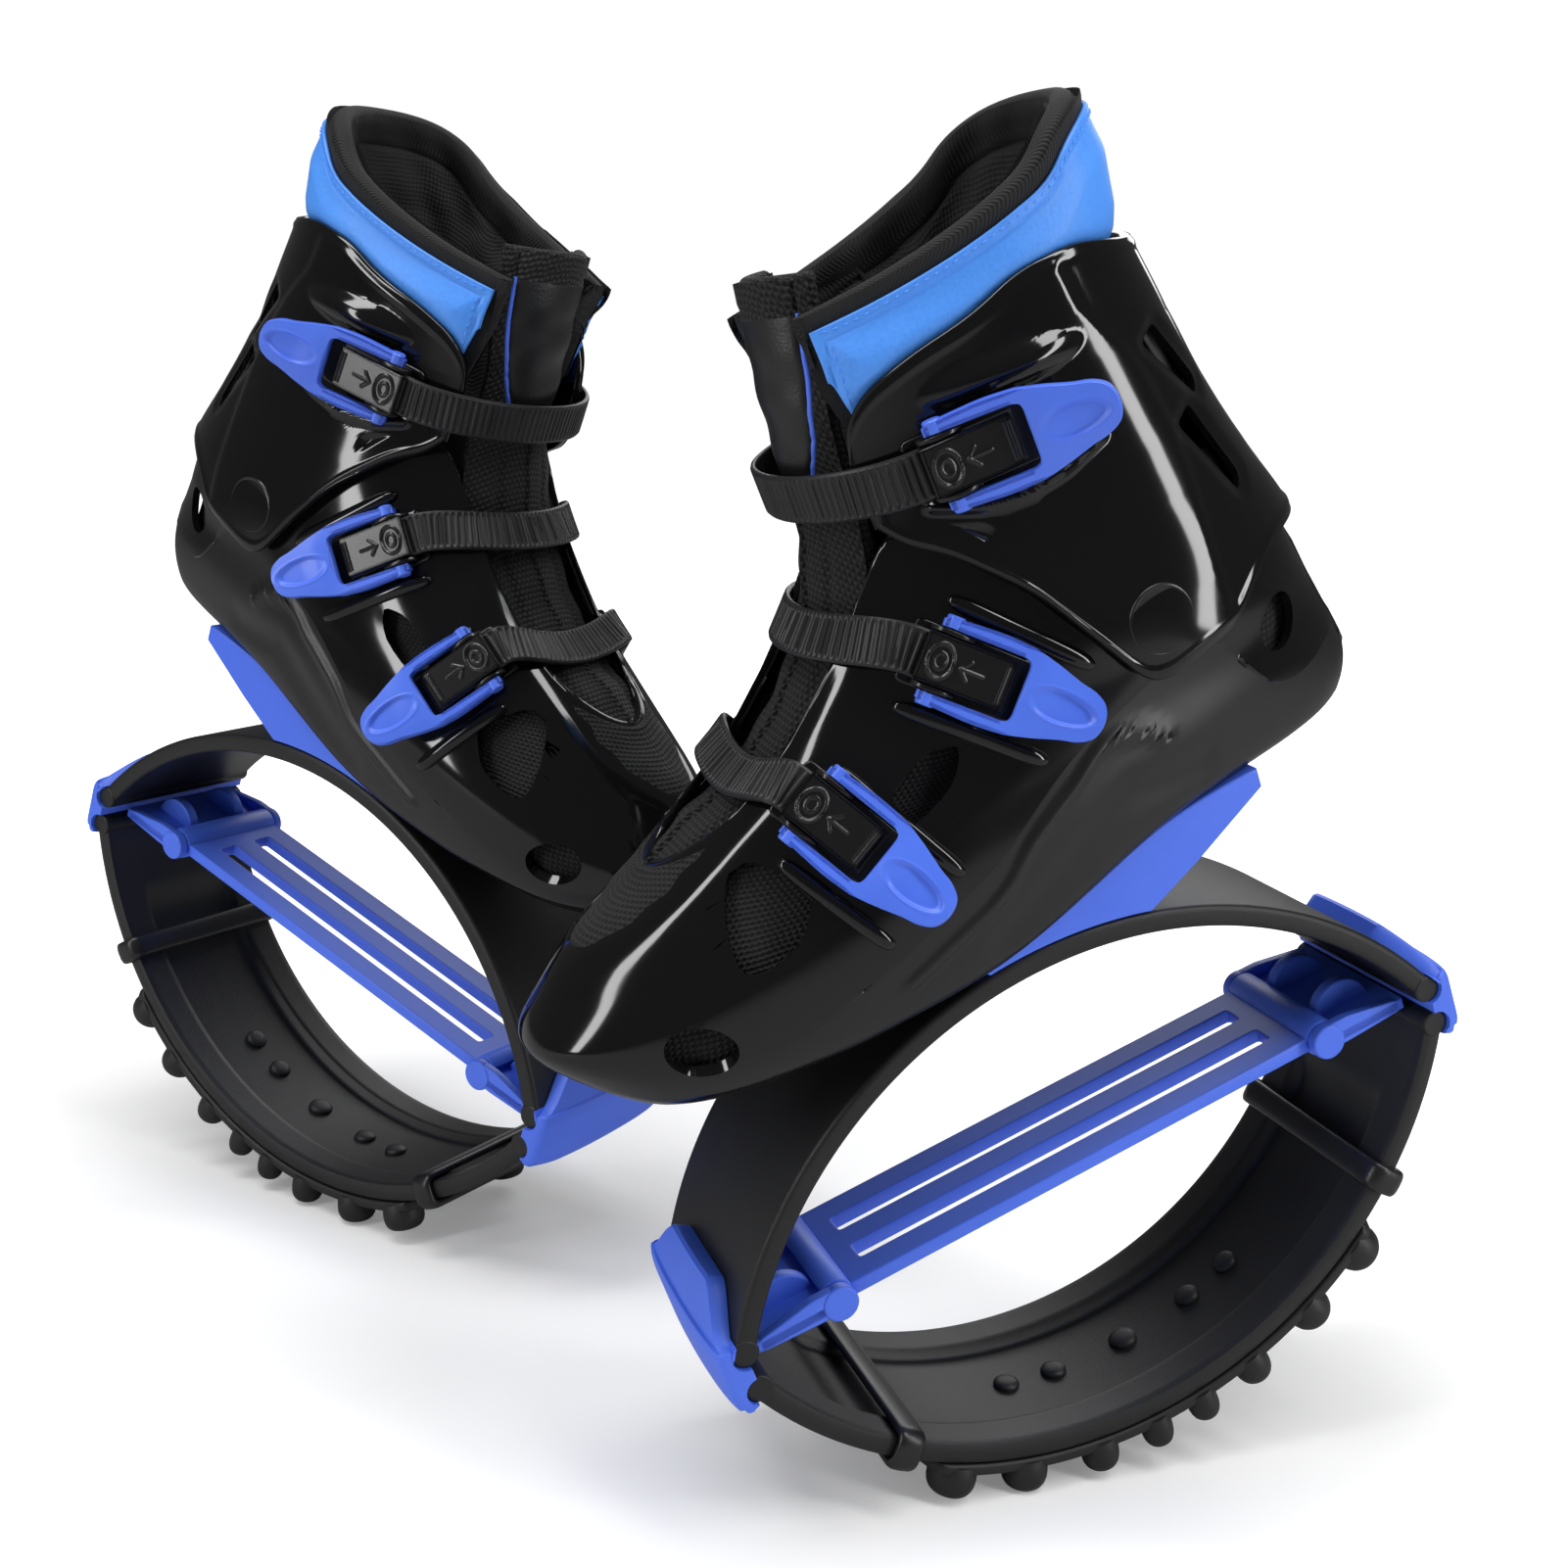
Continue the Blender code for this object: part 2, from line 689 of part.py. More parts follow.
def make_cap(name, way):
    """End cap: sockets for both leaves, the web and its ears, and the barrel."""
    cap = prism(name, cap_outline(), -cap_width / 2, cap_width / 2)
    inner_end = frame_half_span - bead_radius - cap_wall
    for side in (-1, 1):
        low, high = sorted((side * arm_half_width, side * cap_width))
        trim = box("web_trim", (0, low, -cap_width), (inner_end, high, cap_width))
        combine(cap, trim, "DIFFERENCE")
        flange = [(barrel_reach, arm_flange_top), (barrel_reach + ear_radius, arm_flange_top),
                  (inner_end, web_half_thickness), (inner_end, -web_half_thickness),
                  (barrel_reach + ear_radius, -arm_flange_low), (barrel_reach, -arm_flange_low)]
        low, high = sorted((side * arm_half_width, side * (arm_half_width - arm_flange)))
        combine(cap, prism("flange", flange, low, high), "UNION")
        ear = cylinder("ear", ear_radius, (ear_reach, side * ear_offset - ear_thickness / 2, 0),
                       (ear_reach, side * ear_offset + ear_thickness / 2, 0), bar_sides)
        combine(cap, ear, "UNION")
    room = cylinder("hook_room", barrel_radius + running_gap + hook_wall + fit_gap,
                    (barrel_reach, -spring_half_width - fit_gap, 0),
                    (barrel_reach, spring_half_width + fit_gap, 0), bar_sides)
    combine(cap, room, "DIFFERENCE")
    neck = box("neck", (barrel_reach, -spring_half_width - overrun / 2, -web_half_thickness),
               (barrel_reach + ear_radius, spring_half_width + overrun / 2,
                web_half_thickness))
    combine(cap, neck, "UNION")
    barrel = cylinder("barrel", barrel_radius, (barrel_reach, -arm_half_width, 0),
                      (barrel_reach, arm_half_width, 0), bar_sides)
    combine(cap, barrel, "UNION")
    for side in (-1, 1):
        disc = cylinder("disc", barrel_radius + hook_wall,
                        (barrel_reach, side * (spring_half_width + running_gap), 0),
                        (barrel_reach, side * (arm_half_width + running_gap), 0), bar_sides)
        combine(cap, disc, "UNION")
    top = bead_level + skirt_length
    for side in (-1, 1):
        corner = [(side * skirt_flat, top + overrun), (side * skirt_flat, top),
                  (side * cap_width / 2, top - skirt_fall),
                  (side * cap_width, top - skirt_fall), (side * cap_width, top + overrun)]
        cut = prism("corner", corner, 0, cap_width)
        cut.data.transform(Matrix.Translation((skirt_cut_start, 0, 0))
                           @ Matrix.Rotation(-pi / 2, 4, "Z"))
        combine(cap, cut, "DIFFERENCE")
    if way < 0:
        cap.data.transform(Matrix.Scale(-1, 4, (1, 0, 0)))
        cap.data.flip_normals()
    return smooth(adopt(cap, "blue frame plastic"))


def make_tension_spring():
    """Three strips joined at both ends, each end hooked round a cap's barrel."""
    inner = barrel_radius + running_gap
    outer = inner + hook_wall
    meet = asin(strip_thickness / 2 / outer)
    half = arc(barrel_reach, 0, outer, pi - meet, hook_opening, 6)
    half += arc(barrel_reach, 0, inner, hook_opening, 2 * pi - hook_opening, 11)
    half += arc(barrel_reach, 0, outer, 2 * pi - hook_opening, pi + meet, 6)
    outline = half + [(-x, z) for x, z in reversed(half)]
    spring = prism("tension_spring", outline, -spring_half_width, spring_half_width)
    strip = (2 * spring_half_width - 2 * slot_width) / 3
    end = barrel_reach - outer - slot_end
    for side in (-1, 1):
        middle = side * (strip + slot_width) / 2
        slot = box("slot", (-end, middle - slot_width / 2, -outer),
                   (end, middle + slot_width / 2, outer + overrun))
        combine(spring, slot, "DIFFERENCE")
    return smooth(adopt(spring, "blue frame plastic"))


def oval(rear, front, half_width, widest, nose_power, points, heel_power=2.5):
    """Plan outline round the foot: a nose and a heel, each a power curve from the widest
    place. Starts at the nose and goes round by the outer side."""
    turn = 2 * pi * np.arange(points) / points
    ahead = np.cos(turn) >= 0
    power = np.where(ahead, nose_power, heel_power)
    length = np.where(ahead, front - widest, widest - rear)
    x = widest + length * np.sign(np.cos(turn)) * np.abs(np.cos(turn)) ** (2 / power)
    y = half_width * np.sign(np.sin(turn)) * np.abs(np.sin(turn)) ** (2 / power)
    return x, y


def toe_shift(x):
    """The toe turns a little to the inner side."""
    ahead = np.clip((x - along(0.5)) / (boot_length / 2), 0, 1)
    return -toe_inset * ahead ** 2


def shell_rings(inset, lift, points, first=0, extra=0.0):
    """Rings of the boot's form, drawn in by the inset and with the sole raised by lift."""
    stations = [along(share) for share in station_shares]
    floor = [above(share) + lift for share in shell_line_shares[0][0]]
    rings = []
    for heights, rear, front, width, widest, power in shell_line_shares[first:]:
        x, y = oval(along(rear) + inset, along(front) - inset, width * boot_half_width - inset,
                    along(widest), power, points)
        z = np.interp(x, stations, [above(share) for share in heights])
        z = np.maximum(z, np.interp(x, stations, floor)) if lift else z
        rings.append(np.column_stack((x, y + toe_shift(x), z)))
    if extra:
        top = rings[-1].copy()
        top[:, 2] += extra
        rings.append(top)
    return rings


def sole_line():
    """Places and heights of the sole's cross edges, from the heel forward."""
    ring = shell_rings(0, 0, shell_points)[0]
    order = np.argsort(ring[:, 0])
    return ring[order, 0], ring[order, 2]


def sole_height(x):
    """Underside of the boot at x."""
    return float(np.interp(x, *sole_line()))


def lens(centre, size, tilt, steps=8):
    """An oval in the side view."""
    points = []
    for i in range(steps):
        turn = 2 * pi * i / steps
        u, w = size[0] * cos(turn), size[1] * sin(turn)
        points.append((centre[0] + u * cos(tilt) - w * sin(tilt),
                       centre[1] + u * sin(tilt) + w * cos(tilt)))
    return points


def teardrop(centre, length, width, tilt):
    """A round-ended wedge in the side view, its narrow end along the tilt."""
    shape_shares = ((-0.5, -0.42), (-0.5, 0.42), (-0.2, 0.5), (0.2, 0.34), (0.45, 0.12),
                    (0.5, -0.05), (0.36, -0.26), (0.0, -0.5))
    points = []
    for along_share, across_share in shape_shares:
        u, w = along_share * length, across_share * width
        points.append((centre[0] + u * cos(tilt) - w * sin(tilt),
                       centre[1] + u * sin(tilt) + w * cos(tilt)))
    return points


def instep_outline(grow):
    """Plan outline of the opening over the instep, open to the rear."""
    width = instep_half_width + grow
    front = instep_front + grow
    nose = [(front - instep_taper * (1 - cos(a)), width * sin(a))
            for a in np.linspace(0, pi / 2, 6)]
    half = nose + [(widest_ankle, width)]
    outline = half + [(x, -y) for x, y in reversed(half[1:])]
    return [(x, y + float(toe_shift(x))) for x, y in outline]


def cuff_level(share):
    """Height of a share of the cuff. The part that fits round the shell keeps its own
    height, and the part over it takes up the rest."""
    over = cuff_height - cuff_fit_height
    low = share * cuff_fit_height / cuff_fit_share
    high = cuff_fit_height + (share - cuff_fit_share) * over / (1 - cuff_fit_share)
    return cuff_base_level + (low if share < cuff_fit_share else high)


class Buckle:
    """Axes of one buckle: f along the strap, u across it, n away from the boot."""

    def __init__(self, pivot, angles):
        slope, turn, lean, self.lift = angles
        self.origin = Vector(pivot)
        self.f = Vector((cos(slope) * cos(turn), -sin(turn), sin(slope) * cos(turn)))
        self.n = Vector((0, 1, 0)) - self.f.y * self.f
        self.n = (Matrix.Rotation(lean, 3, self.f) @ self.n).normalized()
        self.u = self.n.cross(self.f)
        self.matrix = Matrix.Translation(self.origin) @ Matrix(
            (self.f, self.u, self.n)).transposed().to_4x4()

    def place(self, f, u, n):
        return self.matrix @ Vector((f, u, n))


buckles = {
    "top": Buckle((*top_pivot, cuff_level(top_pivot_share)), top_angles),
    "mid": Buckle(mid_pivot, mid_angles),
    "front": Buckle(front_pivot, front_angles),
}
crests = {"top": (top_crest, cuff_level(top_crest_share)), "mid": mid_crest,
          "front": front_crest}


def in_buckle(piece, buckle):
    """Turn a body from a buckle's own axes into the shoe's."""
    piece.data.transform(buckle.matrix)
    return piece


def mirrored(piece):
    """A body's mirror image on the inner side of the shoe."""
    twin = piece.copy()
    twin.data = piece.data.copy()
    twin.data.transform(Matrix.Scale(-1, 4, (0, 1, 0)))
    twin.data.flip_normals()
    cutters.objects.link(twin)
    return twin


def add_seats(wall, names):
    """Flat seats for the buckles and for the strap rivets opposite."""
    for name in names:
        buckle = buckles[name]
        half = cheek_inner + cheek_thickness + seat_margin
        seat = box("seat", (-seat_rear, -half, -seat_depth), (seat_front, half, 0))
        in_buckle(seat, buckle)
        combine(wall, mirrored(seat), "UNION")
        combine(wall, seat, "UNION")
    return wall


def make_shell():
    shell = loft("boot_shell", shell_rings(0, 0, shell_points))
    rim = [(along(x), above(z)) for x, z in rim_line_shares]
    behind, ahead = (along(share) for share in past_ends_shares)
    rim += [(ahead, above(clear_share)), (behind, above(clear_share))]
    combine(shell, prism("rim_cut", rim, -cut_reach, cut_reach), "DIFFERENCE")
    instep = plan_prism("instep_cut", instep_outline(0), above(instep_low_share),
                         above(clear_share))
    combine(shell, instep, "DIFFERENCE")
    mount_line = np.linspace(pad_front, pad_rear, 5)
    pad = [(pad_rear, sole_level + sole_thickness), (pad_front, sole_level + sole_thickness)]
    pad += [(x, arc_height(x, leaf_thickness / 2 + curve_gap)) for x in mount_line]
    combine(shell, prism("sole_pad", pad, -pad_half_width, pad_half_width), "UNION")
    add_seats(shell, ("mid", "front"))
    hollow = loft("hollow", shell_rings(shell_wall, sole_thickness, hollow_points, first=1,
                                        extra=overrun * 2))
    combine(shell, hollow, "DIFFERENCE")
    for name in ("mid", "front"):
        combine(shell, make_stud(name), "UNION")
    windows = [
        prism("toe_vent", lens(toe_vent_centre, toe_vent_size, toe_vent_tilt), -cut_reach, cut_reach),
        prism("heel_hole", lens(heel_hole_centre, heel_hole_size, heel_hole_tilt),
              -cut_reach, cut_reach),
        prism("mesh_window", teardrop(mesh_window_centre, mesh_window_length,
                                      mesh_window_width, mesh_window_tilt), -cut_reach, cut_reach),
        prism("mid_window", teardrop(mid_window_centre, mid_window_length,
                                     mid_window_width, mid_window_tilt), -cut_reach, cut_reach),
        box("toe_slot", (along(toe_slot_shares[0]), -toe_slot_length,
                         toe_slot_level - toe_slot_height / 2),
            (along(toe_slot_shares[1]), toe_slot_length,
             toe_slot_level + toe_slot_height / 2)),
    ]
    combine(shell, joined("windows", windows), "DIFFERENCE")
    bore = cylinder("ankle_bore", ankle_shaft_radius + running_gap,
                    (ankle_x, -cut_reach, ankle_z), (ankle_x, cut_reach, ankle_z),
                    ankle_sides)
    combine(shell, bore, "DIFFERENCE")
    return smooth(adopt(shell, "gloss black shell"))


def cuff_rings(inset, table, base, height, points, width=cuff_half_width, twist=0.0,
               power=2.1):
    """Level rings of the cuff or the ankle liner, drawn in by the inset."""
    rings = []
    for level, rear, front, share, *turned in table:
        x, y = oval(along(rear) + inset, along(front) - inset, share * width - inset,
                    widest_ankle, power, points, heel_power=2.3)
        if twist:
            ahead = np.clip((x - widest_ankle) / (along(front) - widest_ankle), 0, 1)
            y = y - twist * turned[0] * ahead
        rings.append(np.column_stack((x, y, np.full(points, base + level * height))))
    return rings


def side_cut(name, shares, base, height):
    """A side outline given in shares, as a prism wider than the boot."""
    outline = [(along(x), base + z * height) for x, z in shares]
    return prism(name, outline, -cut_reach, cut_reach)


def make_cuff():
    table = [((cuff_level(level) - cuff_base_level) / cuff_height, *form)
             for level, *form in cuff_line_shares]
    cuff = loft("cuff", cuff_rings(0, table, cuff_base_level, cuff_height, cuff_points))
    add_seats(cuff, ("top",))
    inner = cuff_rings(cuff_wall, table, cuff_base_level, cuff_height, cuff_points)
    inner[0][:, 2] -= overrun
    inner[-1][:, 2] += overrun
    combine(cuff, loft("cuff_hollow", inner), "DIFFERENCE")
    combine(cuff, side_cut("cuff_outline", cuff_outline_shares, cuff_base_level, cuff_height),
            "INTERSECT")
    for side in (-1, 1):
        recess = cylinder("disc_recess", ankle_disc_radius + running_gap,
                          (ankle_x, side * (ankle_face - ankle_disc_recess), ankle_z),
                          (ankle_x, side * cut_reach, ankle_z), ankle_sides)
        combine(cuff, recess, "DIFFERENCE")
    bore = cylinder("ankle_bore", ankle_shaft_radius + running_gap,
                    (ankle_x, -cut_reach, ankle_z), (ankle_x, cut_reach, ankle_z),
                    ankle_sides)
    combine(cuff, bore, "DIFFERENCE")
    combine(cuff, make_stud("top"), "UNION")
    for x, z in louvre_places_shares:
        slot = box("louvre", (-louvre_length / 2, -louvre_depth / 2, -louvre_width / 2),
                   (louvre_length / 2, louvre_depth / 2, louvre_width / 2))
        for side in (-1, 1):
            twin = slot.copy()
            twin.data = slot.data.copy()
            cutters.objects.link(twin)
            twin.data.transform(
                Matrix.Translation((along(x), side * louvre_depth, cuff_base_level
                                    + z * cuff_height))
                @ Matrix.Rotation(louvre_tilt, 4, "Y"))
            combine(cuff, twin, "DIFFERENCE")
    return smooth(adopt(cuff, "gloss black shell"))


def make_liner_foot():
    """Padding inside the shell, open at the ankle and along the instep."""
    gap = shell_wall + liner_gap
    rings = shell_rings(gap, sole_thickness + liner_gap, liner_points, first=1)
    liner = loft("liner_foot", rings)
    hollow = loft("foot_room", shell_rings(gap + foot_padding, sole_thickness + foot_padding,
                                           liner_points, first=1, extra=overrun))
    combine(liner, hollow, "DIFFERENCE")
    behind, ahead = (along(share) for share in past_ends_shares)
    top = [(behind, liner_split_level), (ahead, liner_split_level),
           (ahead, above(clear_share)), (behind, above(clear_share))]
    combine(liner, prism("split", top, -cut_reach, cut_reach), "DIFFERENCE")
    combine(liner, plan_prism("tongue_room", instep_outline(0), above(instep_low_share),
                              above(clear_share)), "DIFFERENCE")
    return smooth(adopt(liner, "black mesh fabric"))


def make_liner_ankle():
    """Padded collar that moves with the cuff."""
    outer = cuff_rings(0, liner_line_shares, liner_base_level, liner_height, liner_points,
                       twist=collar_twist)
    inner = cuff_rings(collar_padding, liner_line_shares, liner_base_level, liner_height,
                       liner_points, twist=collar_twist)
    inner[0][:, 2] -= overrun
    inner[-1][:, 2] += overrun
    liner = loft("liner_ankle", outer)
    combine(liner, loft("leg_room", inner), "DIFFERENCE")
    combine(liner, side_cut("liner_outline", liner_outline_shares, liner_base_level,
                            liner_height), "INTERSECT")
    behind, ahead = (along(share) for share in past_ends_shares)
    split = liner_split_level + fit_gap
    wedge = [(behind, sole_level), (behind, split), (ankle_x, split),
             (ahead, split + (ahead - ankle_x) * sin(flex_wedge)), (ahead, sole_level)]
    combine(liner, prism("flex_room", wedge, -cut_reach, cut_reach), "DIFFERENCE")
    return smooth(adopt(liner, "black mesh fabric"))


def make_collar_panel():
    """Leatherette panel sewn round the outside of the collar."""
    outer = cuff_rings(-panel_gap - panel_thickness, liner_line_shares, liner_base_level,
                       liner_height, liner_points, twist=collar_twist)
    inner = cuff_rings(-panel_gap, liner_line_shares, liner_base_level, liner_height,
                       liner_points, twist=collar_twist)
    inner[0][:, 2] -= overrun
    inner[-1][:, 2] += overrun
    panel = loft("collar_panel", outer)
    combine(panel, loft("panel_hollow", inner), "DIFFERENCE")
    combine(panel, side_cut("panel_outline", panel_outline_shares, liner_base_level,
                            liner_height), "INTERSECT")
    return smooth(adopt(panel, "collar leatherette"))


def make_tongue():
    """Arched pad that runs up the instep, from the toe box to above the collar."""
    line = np.array([(along(x), above(z)) for x, z, *_ in tongue_line_shares])
    tangent = np.gradient(line, axis=0)
    tangent /= np.linalg.norm(tangent, axis=1)[:, None]
    outward = np.column_stack((tangent[:, 1], -tangent[:, 0]))
    across = np.linspace(-1, 1, tongue_across)
    bm = bmesh.new()
    rows = []
    for point, normal, (_, _, share, aside) in zip(line, outward, tongue_line_shares):
        width = tongue_half_width * share
        middle = float(toe_shift(point[0])) - tongue_shift * aside
        ring = []
        for offset, order in ((0, across), (-tongue_thickness, across[::-1])):
            for a in order:
                depth = offset - tongue_arch * share ** 2 * a ** 2
                ring.append(bm.verts.new((point[0] + normal[0] * depth, middle + a * width,
                                          point[1] + normal[1] * depth)))
        rows.append(ring)
    count = len(rows[0])
    for low, high in zip(rows[:-1], rows[1:]):
        for i in range(count):
            j = (i + 1) % count
            bm.faces.new((low[i], low[j], high[j], high[i]))
    for ring in (rows[0], rows[-1]):
        for i in range(tongue_across - 1):
            bm.faces.new((ring[i], ring[i + 1], ring[count - i - 2], ring[count - i - 1]))
    tongue = from_bmesh("tongue", bm)
    return smooth(adopt(tongue, "black mesh fabric"))


def make_insole():
    """Foot bed on the floor of the liner, laced across at the same places as that floor."""
    gap = shell_wall + liner_gap + foot_padding
    ring = shell_rings(gap, sole_thickness + foot_padding, liner_points, first=1)[0]
    order = np.argsort(ring[:, 0])
    floor_x, floor_z = ring[order, 0], ring[order, 2]
    low = ring.copy()
    half = liner_points // 2
    for end, beside in ((0, 1), (half, half - 1)):
        low[end, 0] = (ring[end, 0] + ring[beside, 0]) / 2
    middle = toe_shift(low[:, 0])
    low[:, 1] = middle + (low[:, 1] - middle) * insole_share
    low[:, 2] = np.interp(low[:, 0], floor_x, floor_z) + fit_gap
    high = low.copy()
    high[:, 2] += insole_thickness
    return adopt(loft("insole", [low, high]), "black mesh fabric")


def make_riser():
    """Wedge between the heel half of the sole and the upper leaf."""
    skin = leaf_thickness / 2 + curve_gap
    edges = sorted({float(x) for x in sole_line()[0] if riser_rear < x < riser_front})
    top = [(x, sole_height(x) - curve_gap) for x in (riser_rear, *edges, riser_front)]
    seat = [(x, arc_height(x, skin)) for x in np.linspace(riser_front, riser_knee, 6)]
    heel = [(riser_rear, sole_height(riser_rear) - riser_heel_drop)]
    riser = prism("riser", top + seat + heel, -riser_half_width, riser_half_width)
    return smooth(adopt(bevelled(riser, riser_bevel, riser_bevel_angle), "blue frame plastic"))


def strap_line(name):
    """Middle line and width direction of a strap, from inside its buckle to the far rivet.

    Straight through the buckle, then half a cubic curve up to the crest over the instep,
    and the mirror image down the inner side."""
    buckle = buckles[name]
    crest_x, crest_z = crests[name]
    start = buckle.place(strap_straight, 0, strap_level)
    crest = Vector((crest_x, 0, crest_z))
    pull = (crest - start).length
    first = start + buckle.f * pull * strap_leave_share
    second = crest + Vector((0, pull * strap_crest_share, 0))
    points = [buckle.place(-strap_tail, 0, strap_level)]
    for t in np.linspace(0, 1, strap_stations // 2):
        point = (start * (1 - t) ** 3 + first * 3 * t * (1 - t) ** 2
                 + second * 3 * t ** 2 * (1 - t) + crest * t ** 3)
        points.append(point)
    points += [Vector((p.x, -p.y, p.z)) for p in reversed(points[:-1])]
    return points


def make_strap(name):
    """Strap: a flat band that keeps its outer face away from the foot."""
    buckle = buckles[name]
    points = strap_line(name)
    count = len(points)
    side = Vector((buckle.u.x, 0, buckle.u.z)).normalized()
    bm = bmesh.new()
    rows = []
    for i, point in enumerate(points):
        tangent = (points[min(i + 1, count - 1)] - points[max(i - 1, 0)]).normalized()
        mirror_u = Vector((buckle.u.x, -buckle.u.y, buckle.u.z))
        blend = i / (count - 1)
        across = buckle.u.lerp(side, min(1, 2 * blend)) if blend < 0.5 else side.lerp(
            mirror_u, 2 * blend - 1)
        across = (across - across.dot(tangent) * tangent).normalized()
        outward = tangent.cross(across)
        if outward.dot(point - Vector((widest_ankle, 0, point.z))) < 0:
            outward.negate()
        low = point - outward * strap_thickness / 2
        high = point + outward * strap_thickness / 2
        reach = across * strap_width / 2
        rows.append([bm.verts.new(p) for p in (low - reach, low + reach, high + reach,
                                               high - reach)])
    for low, high in zip(rows[:-1], rows[1:]):
        for i in range(4):
            j = (i + 1) % 4
            bm.faces.new((low[i], low[j], high[j], high[i]))
    bm.faces.new(rows[0])
    bm.faces.new(rows[-1])
    strap = from_bmesh(name + "_strap", bm)
    bore = cylinder("rivet_bore", rivet_shank + running_gap, (0, 0, -overrun),
                    (0, 0, strap_level + strap_thickness + overrun), rivet_sides)
    in_buckle(bore, buckle)
    combine(strap, mirrored(bore), "DIFFERENCE")
    return adopt(strap, "matt black strap")


def make_stud(name):
    """Moulded stud that holds a strap on the inner side of the boot."""
    top = strap_level + strap_thickness / 2 + fit_gap
    shank = cylinder("stud", rivet_shank, (0, 0, -shell_wall / 2),
                     (0, 0, top + rivet_height / 2), rivet_sides)
    head = cylinder("head", rivet_radius, (0, 0, top), (0, 0, top + rivet_height),
                    rivet_sides, top_radius=rivet_top_radius)
    combine(shank, head, "UNION")
    return mirrored(in_buckle(shank, buckles[name]))


def make_base(name):
    """Buckle base: a plate under the strap, with two cheeks that carry the lever's pin."""
    half = cheek_inner + cheek_thickness
    base = box(name + "_buckle_base", (-base_length + base_front, -half, fit_gap),
               (base_front, half, fit_gap + base_thickness))
    for side in (-1, 1):
        low, high = sorted((side * cheek_inner, side * half))
        cheek = box("cheek", (-cheek_half_length, low, fit_gap),
                    (cheek_half_length, high, cheek_height))
        combine(base, cheek, "UNION")
        pin = cylinder("pin", pin_radius, (0, side * (half - cheek_thickness / 2), pin_height),
                       (0, side * (half + pin_reach), pin_height), pin_sides)
        combine(base, pin, "UNION")
    in_buckle(base, buckles[name])
    return adopt(base, "gloss black shell")


def lever_outline():
    """Fork seen from outside: two arms, a belly and a round thumb tip."""
    tip = lever_length - lever_tip_radius
    half = [(-lever_slot_length, 0),
            (-lever_slot_length, lever_slot_half - lever_slot_corner),
            (-lever_slot_length + lever_slot_corner, lever_slot_half),
            (lever_nose, lever_slot_half), (lever_nose, lever_half_width - lever_nose_corner),
            (lever_nose - lever_nose_corner, lever_half_width),
            (-lever_shoulder, lever_belly), (-lever_slot_length, lever_belly)]
    half += [(-tip - lever_tip_radius * sin(a), lever_tip_half_width * cos(a))
             for a in np.linspace(lever_tip_start, pi / 2, 5)]
    return half, [(x, -y) for x, y in reversed(half[1:-1])]


def make_lever(name):
    half, other = lever_outline()
    low, high = -lever_thickness / 2, lever_thickness / 2
    lever = plan_prism(name + "_lever", half + other, low, high)
    hole = cylinder("pin_hole", pin_radius + pin_gap, (0, -lever_belly - overrun, 0),
                    (0, lever_belly + overrun, 0), pin_sides)
    combine(lever, hole, "DIFFERENCE")
    lever.data.transform(buckles[name].matrix @ Matrix.Translation((0, 0, pin_height))
                         @ Matrix.Rotation(buckles[name].lift, 4, "Y"))
    return adopt(lever, "blue buckle plastic")


def make_tab(name):
    """Press tab between the cheeks: it rocks and lifts its tooth off the strap."""
    outline = [(-tab_rear, tab_bottom), (tab_front, tab_bottom),
               (tab_front, tab_bottom + tab_edge),
               (tab_front - tab_thickness, tab_bottom + tab_thickness),
               (-tab_rear + tab_thickness, tab_bottom + tab_thickness),
               (-tab_rear, tab_bottom + tab_edge)]
    tab = prism(name + "_press_tab", outline, -tab_half_width, tab_half_width)
    in_buckle(tab, buckles[name])
    return adopt(tab, "gloss black shell")


def make_ankle_rivet(name, side):
    """Flush disc on the cuff with its shaft through both walls."""
    face = ankle_face - ankle_disc_recess + fit_gap
    disc = cylinder(name + "_ankle_rivet", ankle_disc_radius, (ankle_x, side * face, ankle_z),
                    (ankle_x, side * (face + ankle_disc_thickness), ankle_z), ankle_sides)
    shaft = cylinder("ankle_shaft", ankle_shaft_radius,
                     (ankle_x, side * (boot_half_width - shell_wall), ankle_z),
                     (ankle_x, side * (face + ankle_disc_thickness / 2), ankle_z), 12)
    return adopt(combine(disc, shaft, "UNION"), "dark steel")


def pivot_empty(name, parent, place):
    """An empty on a joint's axis, which carries the pieces that turn there."""
    made = bpy.data.objects.new(name, None)
    parts.objects.link(made)
    made.parent = parent
    made.location = place
    return made


def build_left():
    """All pieces of the left shoe in its own axes, each with the pivot that carries it."""
    ankle = (ankle_x, 0, ankle_z)
    pieces = [(make_upper_arc(), None), (make_lower_arc(), None), (make_tread(), None),
              (make_band("front_band", band_front_angle), None),
              (make_band("rear_band", -band_rear_angle), None),
              (make_cap("front_cap", 1), None), (make_cap("rear_cap", -1), None),
              (make_tension_spring(), None), (make_shell(), None), (make_riser(), None),
              (make_liner_foot(), None), (make_insole(), None), (make_tongue(), None),
              (make_ankle_rivet("outer", 1), None), (make_ankle_rivet("inner", -1), None),
              (make_cuff(), ankle), (make_liner_ankle(), ankle), (make_collar_panel(), ankle)]
    for name, buckle in buckles.items():
        carried = ankle if name == "top" else None
        pieces.append((make_strap(name), carried))
        pieces.append((make_base(name), carried))
        pieces.append((make_lever(name), tuple(buckle.place(0, 0, pin_height))))
        pieces.append((make_tab(name), tuple(buckle.place(tab_pivot, 0, tab_bottom))))
    return pieces


